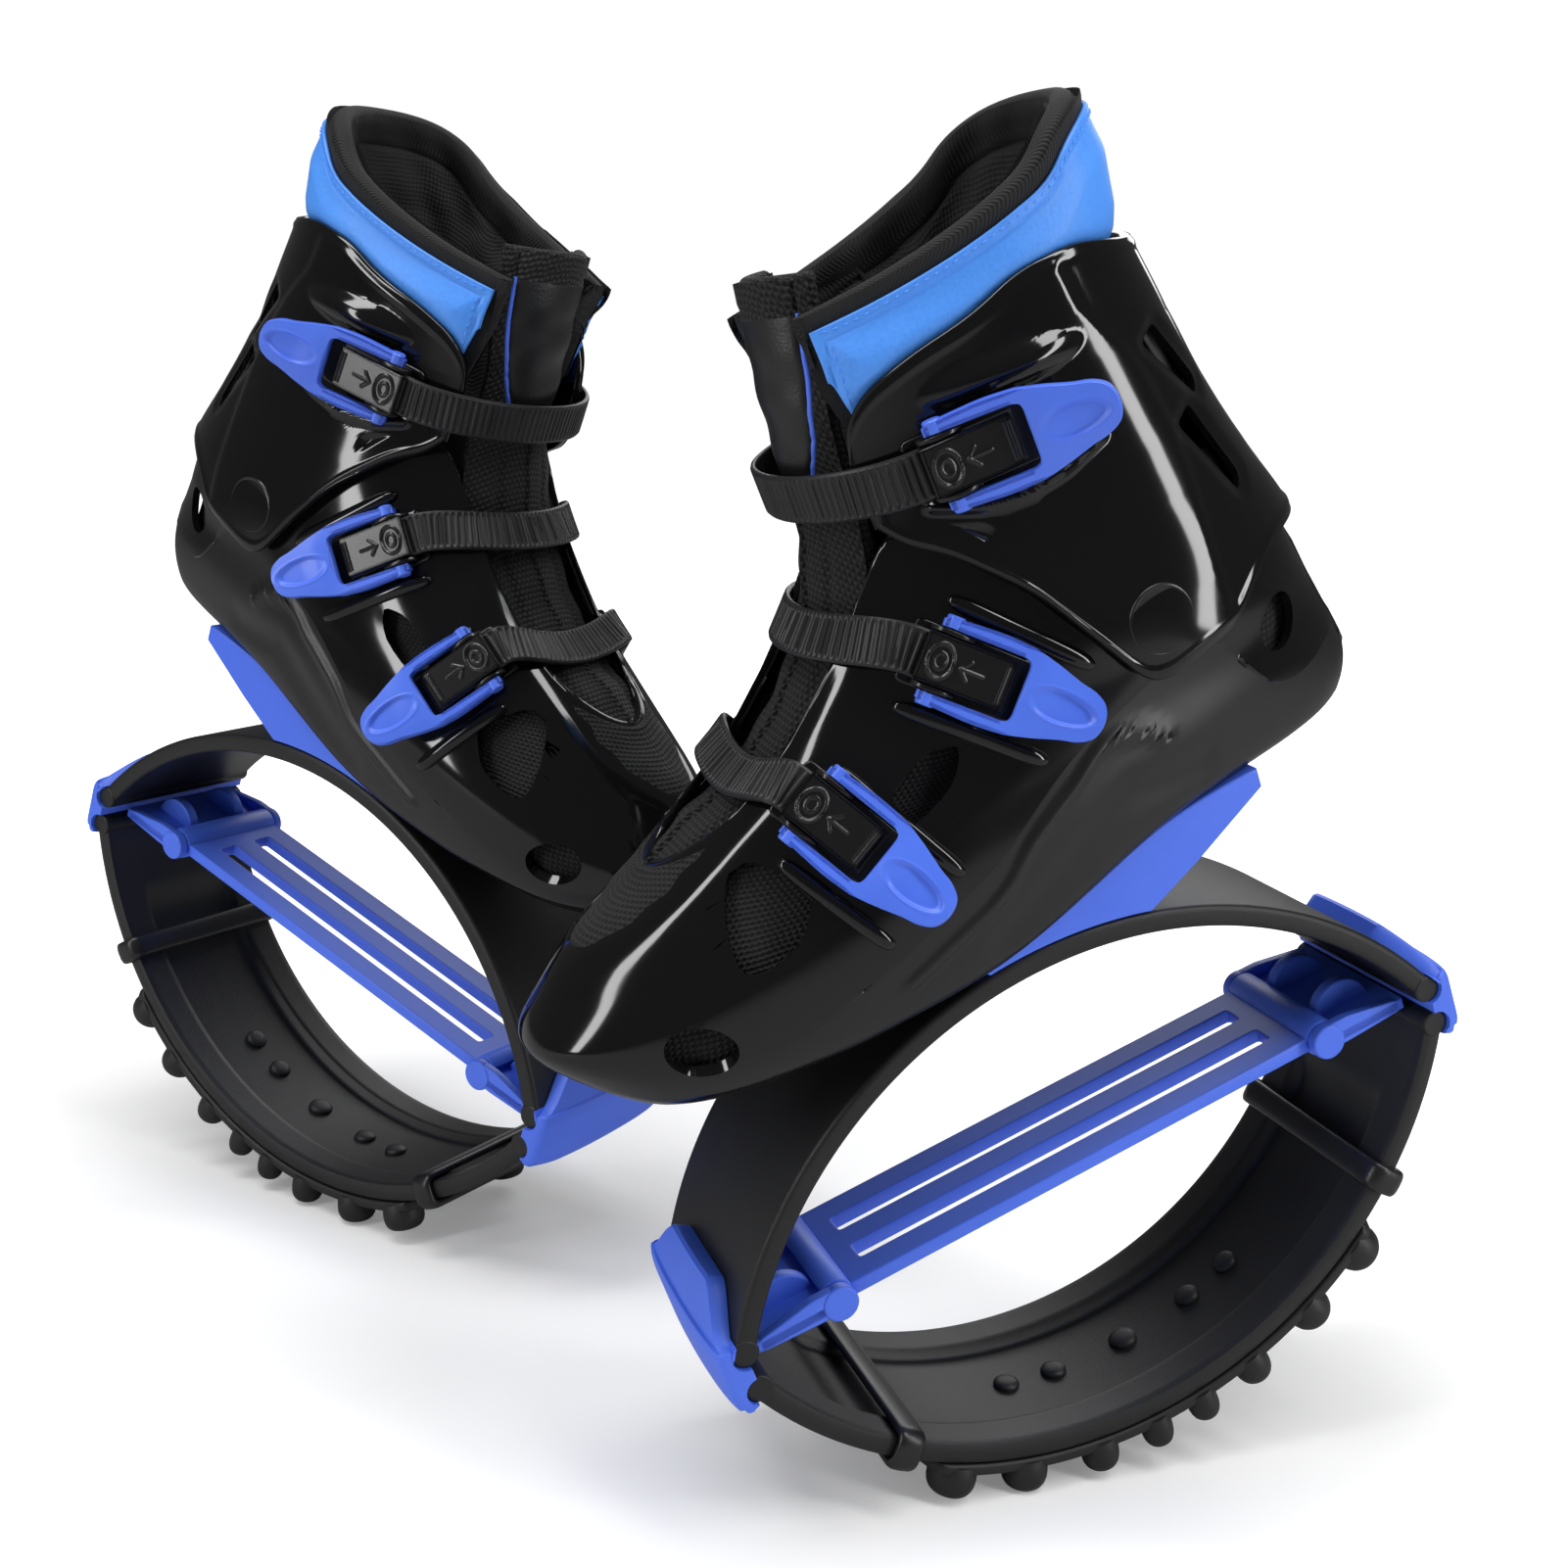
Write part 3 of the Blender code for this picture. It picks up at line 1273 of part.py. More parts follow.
def stand(prefix, heading, pitch, mirror):
    """Empty that holds one shoe, turned to its heading and tipped onto its front lugs."""
    made = bpy.data.objects.new(prefix + "_shoe", None)
    parts.objects.link(made)
    turn = Matrix.Rotation(heading, 4, "Z") @ Matrix.Rotation(pitch, 4, "Y")
    made.matrix_world = turn @ Matrix.Diagonal((1, mirror, 1, 1))
    return made


def lowest(piece):
    """Height of the lowest corner of a piece."""
    return min((piece.matrix_world @ vertex.co).z for vertex in piece.data.vertices)


def assemble():
    """Both shoes: copies of the left one's pieces under their two empties."""
    pieces = build_left()
    shoes = {"left": stand("left", left_heading, left_pitch, 1),
             "right": stand("right", right_heading, right_pitch, -1)}
    names = {piece: piece.name for piece, pivot in pieces}
    treads = {}
    for prefix, shoe in shoes.items():
        pivots = {}
        for piece, pivot in pieces:
            own = piece if prefix == "right" else piece.copy()
            base = names[piece]
            if own is not piece:
                parts.objects.link(own)
            own.name = prefix + "_" + base
            carrier = shoe
            if pivot:
                if pivot not in pivots:
                    pivots[pivot] = pivot_empty(own.name + "_pivot", shoe, pivot)
                carrier = pivots[pivot]
                own.location = -Vector(pivot)
            own.parent = carrier
            if base == "tread":
                treads[prefix] = own
    bpy.context.view_layer.update()
    for prefix, shoe in shoes.items():
        side = 0.5 if prefix == "left" else -0.5
        shoe.location = (side * pair_across, -side * pair_back, -lowest(treads[prefix]))
    bpy.context.view_layer.update()
    solids = [item for item in parts.objects if item.type == "MESH"]
    corners = np.array([item.matrix_world @ vertex.co for item in solids
                        for vertex in item.data.vertices])
    middle = (corners.min(axis=0) + corners.max(axis=0)) / 2
    for shoe in shoes.values():
        shoe.location.x -= middle[0]
        shoe.location.y -= middle[1]
    bpy.context.view_layer.update()


assemble()
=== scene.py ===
"""Looks of a pair of jumping shoes: boots with buckles on oval spring frames.

Each piece is worked out once in the shoe's own axes, x forward, y to the outer side and z up
from the middle of the tension spring, and then placed for the left and, mirrored, the right
shoe. Lengths are in metres.
"""
import bmesh
import bpy
import numpy as np
from math import asin, cos, pi, radians, sin
from mathutils import Matrix, Vector
from mathutils.geometry import tessellate_polygon


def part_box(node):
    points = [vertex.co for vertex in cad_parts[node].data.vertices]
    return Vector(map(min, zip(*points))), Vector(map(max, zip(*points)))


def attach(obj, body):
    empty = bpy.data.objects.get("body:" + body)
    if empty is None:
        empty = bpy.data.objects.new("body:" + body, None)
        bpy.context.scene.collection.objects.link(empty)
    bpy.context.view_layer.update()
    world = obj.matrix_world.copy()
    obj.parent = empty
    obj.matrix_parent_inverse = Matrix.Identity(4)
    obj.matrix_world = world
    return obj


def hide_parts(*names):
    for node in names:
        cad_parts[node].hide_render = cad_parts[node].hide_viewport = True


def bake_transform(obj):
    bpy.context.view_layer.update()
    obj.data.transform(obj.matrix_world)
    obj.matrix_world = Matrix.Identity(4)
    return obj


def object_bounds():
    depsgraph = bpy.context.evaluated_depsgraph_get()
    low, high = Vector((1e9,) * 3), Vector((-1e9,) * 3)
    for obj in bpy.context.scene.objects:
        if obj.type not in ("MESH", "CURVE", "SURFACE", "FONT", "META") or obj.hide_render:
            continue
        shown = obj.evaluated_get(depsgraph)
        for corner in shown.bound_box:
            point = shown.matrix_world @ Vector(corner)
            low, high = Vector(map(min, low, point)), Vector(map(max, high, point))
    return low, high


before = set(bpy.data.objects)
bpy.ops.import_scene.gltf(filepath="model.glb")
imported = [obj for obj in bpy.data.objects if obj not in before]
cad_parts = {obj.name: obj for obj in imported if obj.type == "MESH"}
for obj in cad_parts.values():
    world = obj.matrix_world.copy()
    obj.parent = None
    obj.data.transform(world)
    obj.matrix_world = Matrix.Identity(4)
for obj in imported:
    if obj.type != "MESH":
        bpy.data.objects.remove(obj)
cad_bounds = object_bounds()

# Maps of the surface are in decimetres
map_scale = 10

# Where each shoe stands: heading, pitch and the mirror that makes the right shoe
stances = {"left": (radians(-159.71), radians(23.29), 1),
           "right": (radians(-32.74), radians(18.26), -1)}


def shoe_matrix(side):
    """The shoe's own axes in the pair's frame; its origin is the tension spring's middle."""
    heading, pitch, mirror = stances[side]
    low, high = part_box(side + "_tension_spring")
    turn = Matrix.Rotation(heading, 4, "Z") @ Matrix.Rotation(pitch, 4, "Y")
    return Matrix.Translation((low + high) / 2) @ turn @ Matrix.Diagonal((1, mirror, 1, 1))


shoes = {side: shoe_matrix(side) for side in stances}


def catmull(table, v):
    """Rows of a table read off at fractional row numbers: the curve of third degree through
    four neighbouring rows whose slope at each row is half the step between its neighbours."""
    table = np.asarray(table, float)
    v = np.asarray(v, float)
    last = len(table) - 1
    i = np.clip(np.floor(v).astype(int), 0, last - 1)
    t = (v - i)[..., None]
    a, b = table[np.maximum(i - 1, 0)], table[i]
    c, d = table[i + 1], table[np.minimum(i + 2, last)]
    return 0.5 * (2 * b + (c - a) * t + (2 * a - 5 * b + 4 * c - d) * t ** 2
                  + (3 * b - a - 3 * c + d) * t ** 3)


def normed(vectors):
    """Vectors at length 1."""
    return vectors / np.maximum(np.linalg.norm(vectors, axis=-1, keepdims=True), 1e-12)


def circle_turns(count):
    """Evenly spread turns of a full circle, the last one short of the first."""
    return 2 * pi * np.arange(count) / count


def run_along(points):
    """Length along a polyline up to each of its points."""
    return np.r_[0, np.cumsum(np.linalg.norm(np.diff(points, axis=0), axis=1))]


def even_line(points, count):
    """Points evenly spread along a polyline."""
    points = np.asarray(points, float)
    run = run_along(points)
    at = np.linspace(0, run[-1], count)
    return np.stack([np.interp(at, run, points[:, k]) for k in range(points.shape[1])], -1)


def smooth_line(points, count):
    """Points evenly spread along the smooth curve through a few given points."""
    points = np.asarray(points, float)
    return even_line(catmull(points, np.linspace(0, len(points) - 1, 40 * len(points))), count)


def oblong(left, right, low, high):
    """The four corners of an upright oblong."""
    return np.array(((left, low), (right, low), (right, high), (left, high)))


def rounded(points, radius, steps=5, closed=True):
    """A flat outline with each corner replaced by a parabola that leaves the two sides at the
    radius, or at half a side where that is shorter."""
    points = np.asarray(points, float)
    count = len(points)
    made = []
    t = np.linspace(0, 1, steps)[:, None]
    for i, corner in enumerate(points):
        if not closed and i in (0, count - 1):
            made.append(corner[None])
            continue
        before, after = points[i - 1], points[(i + 1) % count]
        back, on = before - corner, after - corner
        r = min(radius, np.linalg.norm(back) * 0.49, np.linalg.norm(on) * 0.49)
        start = corner + back / np.linalg.norm(back) * r
        end = corner + on / np.linalg.norm(on) * r
        made.append(start * (1 - t) ** 2 + corner * 2 * t * (1 - t) + end * t ** 2)
    return np.concatenate(made)


def distance(x, z, line):
    """Distance of points (x, z) from a polyline."""
    best = np.full(np.shape(x), 9.0)
    for (ax, az), (bx, bz) in zip(line[:-1], line[1:]):
        dx, dz = bx - ax, bz - az
        t = np.clip(((x - ax) * dx + (z - az) * dz) / (dx * dx + dz * dz), 0, 1)
        best = np.minimum(best, np.hypot(x - ax - t * dx, z - az - t * dz))
    return best


def bell(d, width):
    """A smooth ridge: 1 at distance 0, falling as a squared cosine to 0 at the width."""
    return np.where(np.abs(d) < width, np.cos(np.clip(d / width, -1, 1) * pi / 2) ** 2, 0)


def step(x, low, high):
    """0 below low, 1 above high, and a smooth s-curve between."""
    t = np.clip((x - low) / (high - low), 0, 1)
    return t * t * (3 - 2 * t)


def grid_normals(points, wrap=False):
    """Unit normals of a grid: the cross product of its two directions."""
    down = np.gradient(points, axis=0)
    if wrap:
        along = (np.roll(points, -1, 1) - np.roll(points, 1, 1)) / 2
    else:
        along = np.gradient(points, axis=1)
    return normed(np.cross(along, down))


def facing(points, way):
    """A grid whose middle normal points the given way: its columns change sides if not."""
    normal = grid_normals(points)[len(points) // 2, points.shape[1] // 2]
    return points if normal @ np.array(way, float) > 0 else points[:, ::-1]


def read_grid(points, row, col):
    """Places on a grid at fractional row and column numbers."""
    i = np.clip(row.astype(int), 0, len(points) - 2)
    j = np.clip(col.astype(int), 0, points.shape[1] - 2)
    s, t = (row - i)[:, None], (col - j)[:, None]
    return ((points[i, j] * (1 - t) + points[i, j + 1] * t) * (1 - s)
            + (points[i + 1, j] * (1 - t) + points[i + 1, j + 1] * t) * s)


def off_edges(points, *edges):
    """How far each point of a grid is from the nearest of some edges, each read in the
    point's own column or row."""
    return np.minimum.reduce([np.linalg.norm(points - edge, axis=-1) for edge in edges])


def spread_lengths(points, wrap):
    """Lengths along the rows and down the columns of a grid, in decimetres."""
    if wrap:
        points = np.concatenate((points, points[:, :1]), 1)
    across = np.linalg.norm(np.diff(points, axis=1), axis=-1)
    down = np.linalg.norm(np.diff(points, axis=0), axis=-1)
    u = np.concatenate((np.zeros((len(points), 1)), np.cumsum(across, 1)), 1)
    v = np.concatenate((np.zeros((1, points.shape[1])), np.cumsum(down, 0)), 0)
    u = u - u[:, points.shape[1] // 2][:, None]
    return np.stack((u, v), -1) * map_scale


class Body:
    """Points and faces of a piece in the shoe's own axes, gathered grid by grid, with a
    finish number, a map in decimetres and a mark from 0 to 1 at every point."""

    def __init__(self):
        self.points, self.marks, self.faces, self.maps, self.finish = [], [], [], [], []
        self.count = 0

    def take(self, points, mark=0.0):
        """Adds points and gives the number of the first one."""
        points = np.asarray(points, float).reshape(-1, 3)
        self.points.append(points)
        self.marks.append(np.broadcast_to(np.asarray(mark, float).ravel()
                                          if np.ndim(mark) else mark, len(points)))
        start = self.count
        self.count += len(points)
        return start

    def add_faces(self, faces, maps, finish=0):
        """Faces of four point numbers, the last repeated in triangles, with their maps."""
        self.faces.append(np.asarray(faces, int))
        self.maps.append(np.asarray(maps, float))
        self.finish.append(np.full(len(faces), finish))

    def grid(self, points, wrap=False, keep=None, finish=0, mark=0.0, maps=None, flip=False):
        """A grid of rows and columns; wrap joins the last column to the first."""
        rows, cols = points.shape[:2]
        start = self.take(points, mark)
        if maps is None:
            maps = spread_lengths(points, wrap)
        i, j = np.meshgrid(np.arange(rows - 1), np.arange(cols if wrap else cols - 1),
                           indexing="ij")
        k = (j + 1) % cols
        faces = start + np.stack((i * cols + j, i * cols + k, (i + 1) * cols + k,
                                  (i + 1) * cols + j), -1)
        corners = np.stack((maps[i, j], maps[i, j + 1], maps[i + 1, j + 1],
                            maps[i + 1, j]), -2)
        if keep is not None:
            faces, corners = faces[keep], corners[keep]
        faces, corners = faces.reshape(-1, 4), corners.reshape(-1, 4, 2)
        if flip:
            faces, corners = faces[:, ::-1], corners[:, ::-1]
        self.add_faces(faces, corners, finish)
        return start

    def close(self, ring, finish=0):
        """A fan from a ring of points to its middle."""
        ring = np.asarray(ring)
        start = self.take(np.vstack((ring, ring.mean(0))))
        i = np.arange(len(ring))
        faces = np.stack((start + i, start + (i + 1) % len(ring),
                          np.full(len(ring), start + len(ring)),
                          np.full(len(ring), start + len(ring))), -1)
        flat = ring[:, :2] * map_scale
        centre = np.broadcast_to(flat.mean(0), flat.shape)
        self.add_faces(faces, np.stack((flat, np.roll(flat, -1, 0), centre, centre), 1), finish)

    def tube(self, rings, finish=0):
        """Rings joined into a tube with both ends closed."""
        rings = np.asarray(rings)
        self.grid(rings, wrap=True, finish=finish)
        self.close(rings[0], finish)
        self.close(rings[-1], finish)

    def panel(self, loops, placed, mark=0.0):
        """A flat face within the first loop and outside the others: its triangles are found
        in the loops' own plane, and placed gives the points of all loops."""
        flat = [[Vector((p[0], p[1], 0)) for p in loop] for loop in loops]
        corners = np.array(tessellate_polygon(flat))
        start = self.take(placed, mark)
        corners = np.column_stack((corners, corners[:, 2]))
        points = np.concatenate(loops)[:, :2]
        self.add_faces(start + corners, points[corners] * map_scale)

    def turned(self, matrix):
        """The same piece moved by a matrix."""
        m = np.array(matrix)
        self.points = [p @ m[:3, :3].T + m[:3, 3] for p in self.points]
        return self

    def add(self, other):
        """Take in another piece."""
        self.faces += [faces + self.count for faces in other.faces]
        self.maps += other.maps
        self.finish += other.finish
        self.points += other.points
        self.marks += other.marks
        self.count += other.count
        return self


# Points closer than weld are joined, and edges shorter than sliver are taken out; edges
# sharper than crease are drawn sharp, and those sharper than bevel_from are rounded
weld, sliver = 2e-6, 1e-7
crease, bevel_from = radians(40), radians(35)


def make(name, body, side, finishes, ride, replaces, bevel=None):
    """One shoe's piece as an object: welded, its faces outward, its edges finished. It rides on
    one body; where ride names two bodies and their places, it is only baked in place and rides
    on neither."""
    matrix = np.array(shoes[side])
    points = np.vstack(body.points) @ matrix[:3, :3].T + matrix[:3, 3]
    faces = np.concatenate(body.faces)
    maps = np.concatenate(body.maps)
    finish = np.concatenate(body.finish)
    marks = np.concatenate(body.marks)
    if np.linalg.det(matrix[:3, :3]) < 0:
        three = (faces[:, 2] == faces[:, 3])[:, None]
        faces = np.where(three, faces[:, (2, 1, 0, 0)], faces[:, ::-1])
        maps = np.where(three[..., None], maps[:, (2, 1, 0, 0)], maps[:, ::-1])
    mesh = bpy.data.meshes.new(f"{side}_{name}")
    triangle = faces[:, 2] == faces[:, 3]
    loops = np.where(triangle, 3, 4)
    used = np.ones(faces.shape, bool)
    used[triangle, 3] = False
    mesh.vertices.add(len(points))
    mesh.vertices.foreach_set("co", points.ravel())
    mesh.loops.add(int(loops.sum()))
    mesh.loops.foreach_set("vertex_index", faces[used])
    mesh.polygons.add(len(faces))
    mesh.polygons.foreach_set("loop_start", np.r_[0, np.cumsum(loops)[:-1]])
    mesh.polygons.foreach_set("loop_total", loops)
    mesh.polygons.foreach_set("material_index", finish)
    mesh.uv_layers.new(name="UVMap").data.foreach_set("uv", maps[used].ravel())
    mark = mesh.attributes.new("mark", "FLOAT", "POINT")
    mark.data.foreach_set("value", marks)
    mesh.update()
    bm = bmesh.new()
    bm.from_mesh(mesh)
    bmesh.ops.remove_doubles(bm, verts=bm.verts, dist=weld)
    bmesh.ops.dissolve_degenerate(bm, edges=bm.edges, dist=sliver)
    bmesh.ops.recalc_face_normals(bm, faces=bm.faces)
    bm.to_mesh(mesh)
    bm.free()
    mesh.shade_smooth()
    mesh.set_sharp_from_angle(angle=crease)
    piece = bpy.data.objects.new(f"{side}_{name}", mesh)
    bpy.context.scene.collection.objects.link(piece)
    for material in finishes:
        mesh.materials.append(material)
    if bevel:
        tool = piece.modifiers.new("edges", "BEVEL")
        tool.width = bevel
        tool.segments = 3
        tool.limit_method = "ANGLE"
        tool.angle_limit = bevel_from
        tool.harden_normals = False
    if isinstance(ride, tuple):
        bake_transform(piece)
    else:
        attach(piece, ride)
    nodes = [f"{side}_{node}" for node in replaces]
    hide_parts(*nodes)
    return piece


class Value:
    """A number in the shader: arithmetic on it adds the Math nodes."""

    def __init__(self, tree, socket):
        self.tree, self.socket = tree, socket

    def math(self, operation, *others, clamp=False):
        node = self.tree.nodes.new("ShaderNodeMath")
        node.operation = operation
        node.use_clamp = clamp
        for place, item in zip(node.inputs, (self, *others)):
            if isinstance(item, Value):
                self.tree.links.new(item.socket, place)
            else:
                place.default_value = item
        return Value(self.tree, node.outputs[0])

    def __add__(self, other):
        return self.math("ADD", other)

    __radd__ = __add__

    def __mul__(self, other):
        return self.math("MULTIPLY", other)

    __rmul__ = __mul__

    def __sub__(self, other):
        return self.math("SUBTRACT", other)

    def __rsub__(self, other):
        return (self * -1).math("ADD", other)

    def sine(self):
        return self.math("SINE")

    def above(self, other):
        return self.math("GREATER_THAN", other)

    def clamped(self):
        return self.math("ADD", 0.0, clamp=True)

    def ramp(self, low, high):
        """0 below low and 1 above high, in a straight line."""
        return ((self - low) * (1 / (high - low))).clamped()


class Net:
    """A node tree being built."""

    def __init__(self, tree):
        self.tree = tree

    def put(self, place, value):
        """A link, a colour of three numbers or a plain number goes into a socket."""
        if isinstance(value, Value):
            self.tree.links.new(value.socket, place)
        else:
            place.default_value = (*value, 1.0) if isinstance(value, tuple) else value

    def node(self, kind, settings=None, sockets=None, **inputs):
        """A node of any type: its settings, then the values or links of its sockets, which
        are named, or numbered where their names repeat."""
        made = self.tree.nodes.new(kind)
        for name, value in (settings or {}).items():
            setattr(made, name, value)
        inputs = {name.replace("_", " "): value for name, value in inputs.items()}
        for key, value in {**inputs, **(sockets or {})}.items():
            self.put(made.inputs[key], value)
        return made

    def value(self, node, output=0):
        return Value(self.tree, node.outputs[output])


class Finish(Net):
    """A material being built: a Principled shader and the nodes that feed it."""

    def __init__(self, name, **constants):
        self.material = bpy.data.materials.new(name)
        self.material.use_nodes = True
        super().__init__(self.material.node_tree)
        self.shader = self.tree.nodes["Principled BSDF"]
        for socket, value in constants.items():
            self.put(self.shader.inputs[socket.replace("_", " ")], value)

    def place(self):
        """Place in the pair's axes, in metres."""
        return self.value(self.node("ShaderNodeTexCoord"), "Object")

    def map(self):
        """The two map lengths of the surface, in decimetres."""
        split = self.node("ShaderNodeSeparateXYZ",
                          Vector=self.value(self.node("ShaderNodeTexCoord"), "UV"))
        return self.value(split, "X"), self.value(split, "Y")

    def mark(self):
        """The mark of each point, from 0 to 1."""
        return self.value(self.node("ShaderNodeAttribute", {"attribute_name": "mark"}), "Fac")

    def noise(self, scale, detail=3.0, roughness=0.5):
        """Cloudy noise from 0 to 1; the scale is in clouds a metre."""
        made = self.node("ShaderNodeTexNoise", Scale=scale, Detail=detail, Roughness=roughness,
                         Vector=self.place())
        return self.value(made, "Fac")

    def pebbles(self, scale):
        """Distance from the middles of scattered rounded cells; the scale is in cells a
        metre."""
        made = self.node("ShaderNodeTexVoronoi", {"feature": "SMOOTH_F1"}, Scale=scale,
                         Vector=self.place())
        return self.value(made, "Distance")

    def blend(self, factor, low, high):
        """A colour between two colours."""
        return self.value(self.node("ShaderNodeMix", {"data_type": "RGBA"},
                                    {0: factor, 6: low, 7: high}), 2)

    def feed(self, socket, value):
        """A value or colour into one of the shader's sockets."""
        self.put(self.shader.inputs[socket], value)
        return self

    def bump(self, height, strength, distance):
        """Relief in the shading: a height from 0 to 1, and the length that 1 stands for."""
        made = self.node("ShaderNodeBump", Strength=strength, Distance=distance, Height=height)
        return self.feed("Normal", self.value(made, "Normal"))


def gloss_black():
    """Polished black plastic; where marked it is the satin of the sole's rim."""
    f = Finish("gloss_black", Specular_IOR_Level=0.5)
    satin = f.mark()
    cloud = f.noise(35.0, 2.0)
    fine = f.noise(900.0, 2.0)
    f.feed("Base Color", f.blend(satin, (0.0045, 0.0045, 0.005), (0.0085, 0.0085, 0.009)))
    f.feed("Roughness", cloud * 0.05 + 0.055 + satin * (fine * 0.06 + 0.25))
    return f.bump(f.noise(55.0, 1.0) + fine * satin * 0.15, 0.10, 0.0006).material


def satin_black():
    """Moulded black plastic of the buckles' frames."""
    f = Finish("satin_black")
    fine = f.noise(1400.0, 2.0)
    f.feed("Base Color", f.blend(f.noise(60.0), (0.006, 0.006, 0.0065), (0.010, 0.010, 0.011)))
    f.feed("Roughness", fine * 0.08 + 0.20)
    return f.bump(fine, 0.08, 0.0002).material


def frame_blue():
    """Cobalt blue moulded plastic of the spring frame, finely grained."""
    f = Finish("frame_blue")
    cloud, fine = f.noise(22.0, 3.0), f.noise(1700.0, 2.0)
    f.feed("Base Color", f.blend(cloud, (0.055, 0.145, 0.80), (0.075, 0.180, 0.90)))
    f.feed("Roughness", cloud * 0.10 + fine * 0.08 + 0.34)
    return f.bump(fine, 0.14, 0.00025).material


def buckle_blue():
    """Smooth cobalt blue of the levers."""
    f = Finish("buckle_blue")
    cloud, fine = f.noise(40.0, 2.0), f.noise(1200.0, 1.0)
    f.feed("Base Color", f.blend(cloud, (0.072, 0.160, 0.78), (0.088, 0.195, 0.87)))
    f.feed("Roughness", cloud * 0.06 + 0.30)
    return f.bump(fine, 0.05, 0.0002).material


def leatherette():
    """Light blue coated cloth with a pebbled grain and fine creases."""
    f = Finish("leatherette")
    grain = f.pebbles(720.0)
    crease = f.noise(160.0, 4.0, 0.6)
    cloud = f.noise(28.0, 2.0)
    f.feed("Base Color", f.blend((grain * 0.7 + cloud * 0.5).clamped(),
                                 (0.060, 0.262, 0.84), (0.084, 0.325, 0.94)))
    f.feed("Roughness", grain * 0.16 + 0.40)
    return f.bump(grain * -1.0 + crease * 0.8, 0.30, 0.00035).material


def leaf_black():
    """Textured black composite of the spring leaves."""
    f = Finish("leaf_black")
    grain = f.noise(1500.0, 4.0, 0.65)
    cloud = f.noise(18.0, 3.0)
    f.feed("Base Color", f.blend(cloud, (0.006, 0.006, 0.006), (0.012, 0.012, 0.012)))
    f.feed("Roughness", grain * 0.12 + cloud * 0.10 + 0.34)
    return f.bump(grain, 0.35, 0.0003).material


def rubber():
    """Dull black rubber with a fine moulded skin and cloudy patches of dust."""
    f = Finish("rubber")
    grain = f.noise(1100.0, 3.0)
    cloud = f.noise(45.0, 4.0)
    f.feed("Base Color", f.blend(cloud, (0.006, 0.006, 0.0065), (0.016, 0.016, 0.0175)))
    f.feed("Roughness", cloud * 0.14 + 0.44)
    return f.bump(grain, 0.22, 0.0003).material


def band_rubber():
    """Satin black rubber of the two bands."""
    f = Finish("band_rubber")
    cloud = f.noise(80.0, 2.0)
    f.feed("Base Color", (0.010, 0.010, 0.0105))
    f.feed("Roughness", cloud * 0.12 + 0.28)
    return f.bump(f.noise(700.0, 2.0), 0.08, 0.0003).material


def mesh_cloth():
    """Black spacer mesh: rows of small holes between raised threads, half a step aside in every
    second row, with a smooth binding where marked. The holes are coloured near black as painted
    shade inside them."""
    f = Finish("mesh_cloth", Sheen_Weight=0.02, Sheen_Roughness=0.5)
    u, v = f.map()
    pitch = 0.023
    turns = 2 * pi / pitch
    rows = (v * turns).sine()
    threads = (u * turns + (v * (turns / 2)).sine().above(0.0) * pi).sine()
    weave = ((rows + threads) * 0.25 + 0.5).clamped()
    smooth = f.mark()
    hole = (weave * 1.5 - 0.15).clamped()
    # The holes' near-black colour is painted shade inside them; the threads keep the cloth's own
    # black
    f.feed("Base Color", f.blend((hole * (1.0 - smooth)).clamped(), (0.013, 0.013, 0.0135),
                                 (0.0005, 0.0005, 0.0006)))
    f.feed("Roughness", hole * 0.2 + 0.70)
    fuzz = f.noise(2600.0, 2.0)
    return f.bump((1.0 - hole) * (1.0 - smooth) + fuzz * 0.3, 0.85, 0.0008).material


def knit_rim():
    """Black knitted edge of the collar: fine ribs across the rim, plain mesh inside; its colour
    is darker in the low parts as painted shade.
    """
    f = Finish("knit_rim", Sheen_Weight=0.03, Sheen_Roughness=0.45)
    u, v = f.map()
    rib_pitch, mesh_pitch = 0.016, 0.018
    ribs = (u * (2 * pi / rib_pitch)).sine() * 0.5 + 0.5
    turns = 2 * pi / mesh_pitch
    rows = ((v * turns).sine() + (u * turns).sine()) * 0.25 + 0.5
    rim = f.mark()
    height = ribs * rim + rows * (1.0 - rim)
    # The colour follows the height: painted shade in the low parts between ribs and rows,
    # lighter tops
    f.feed("Base Color", f.blend(height.clamped(), (0.0012, 0.0012, 0.0013),
                                 (0.009, 0.009, 0.0095)))
    f.feed("Roughness", height * 0.1 + 0.72)
    return f.bump(height + f.noise(2400.0, 2.0) * 0.5, 0.5, 0.0005).material


def strap_black():
    """Matt black nylon strap."""
    f = Finish("strap_black")
    cloud, fine = f.noise(70.0, 3.0), f.noise(1500.0, 2.0)
    f.feed("Base Color", f.blend(cloud, (0.009, 0.009, 0.0095), (0.017, 0.017, 0.018)))
    f.feed("Roughness", cloud * 0.10 + fine * 0.08 + 0.36)
    return f.bump(fine, 0.12, 0.0002).material


def tongue_face():
    """Smooth black coated cloth down the middle of the tongue."""
    f = Finish("tongue_face")
    grain = f.pebbles(1000.0)
    cloud = f.noise(60.0, 3.0)
    f.feed("Base Color", f.blend(cloud, (0.008, 0.008, 0.0085), (0.013, 0.013, 0.014)))
    f.feed("Roughness", grain * 0.12 + cloud * 0.12 + 0.30)
    return f.bump(grain * -1.0 + cloud * 0.6, 0.22, 0.0004).material


gloss = gloss_black()
satin = satin_black()
blue_frame = frame_blue()
blue_lever = buckle_blue()
blue_cloth = leatherette()
leaf = leaf_black()
tread_rubber = rubber()
band = band_rubber()
cloth = mesh_cloth()
rim_cloth = knit_rim()
strap_finish = strap_black()
tongue_cloth = tongue_face()


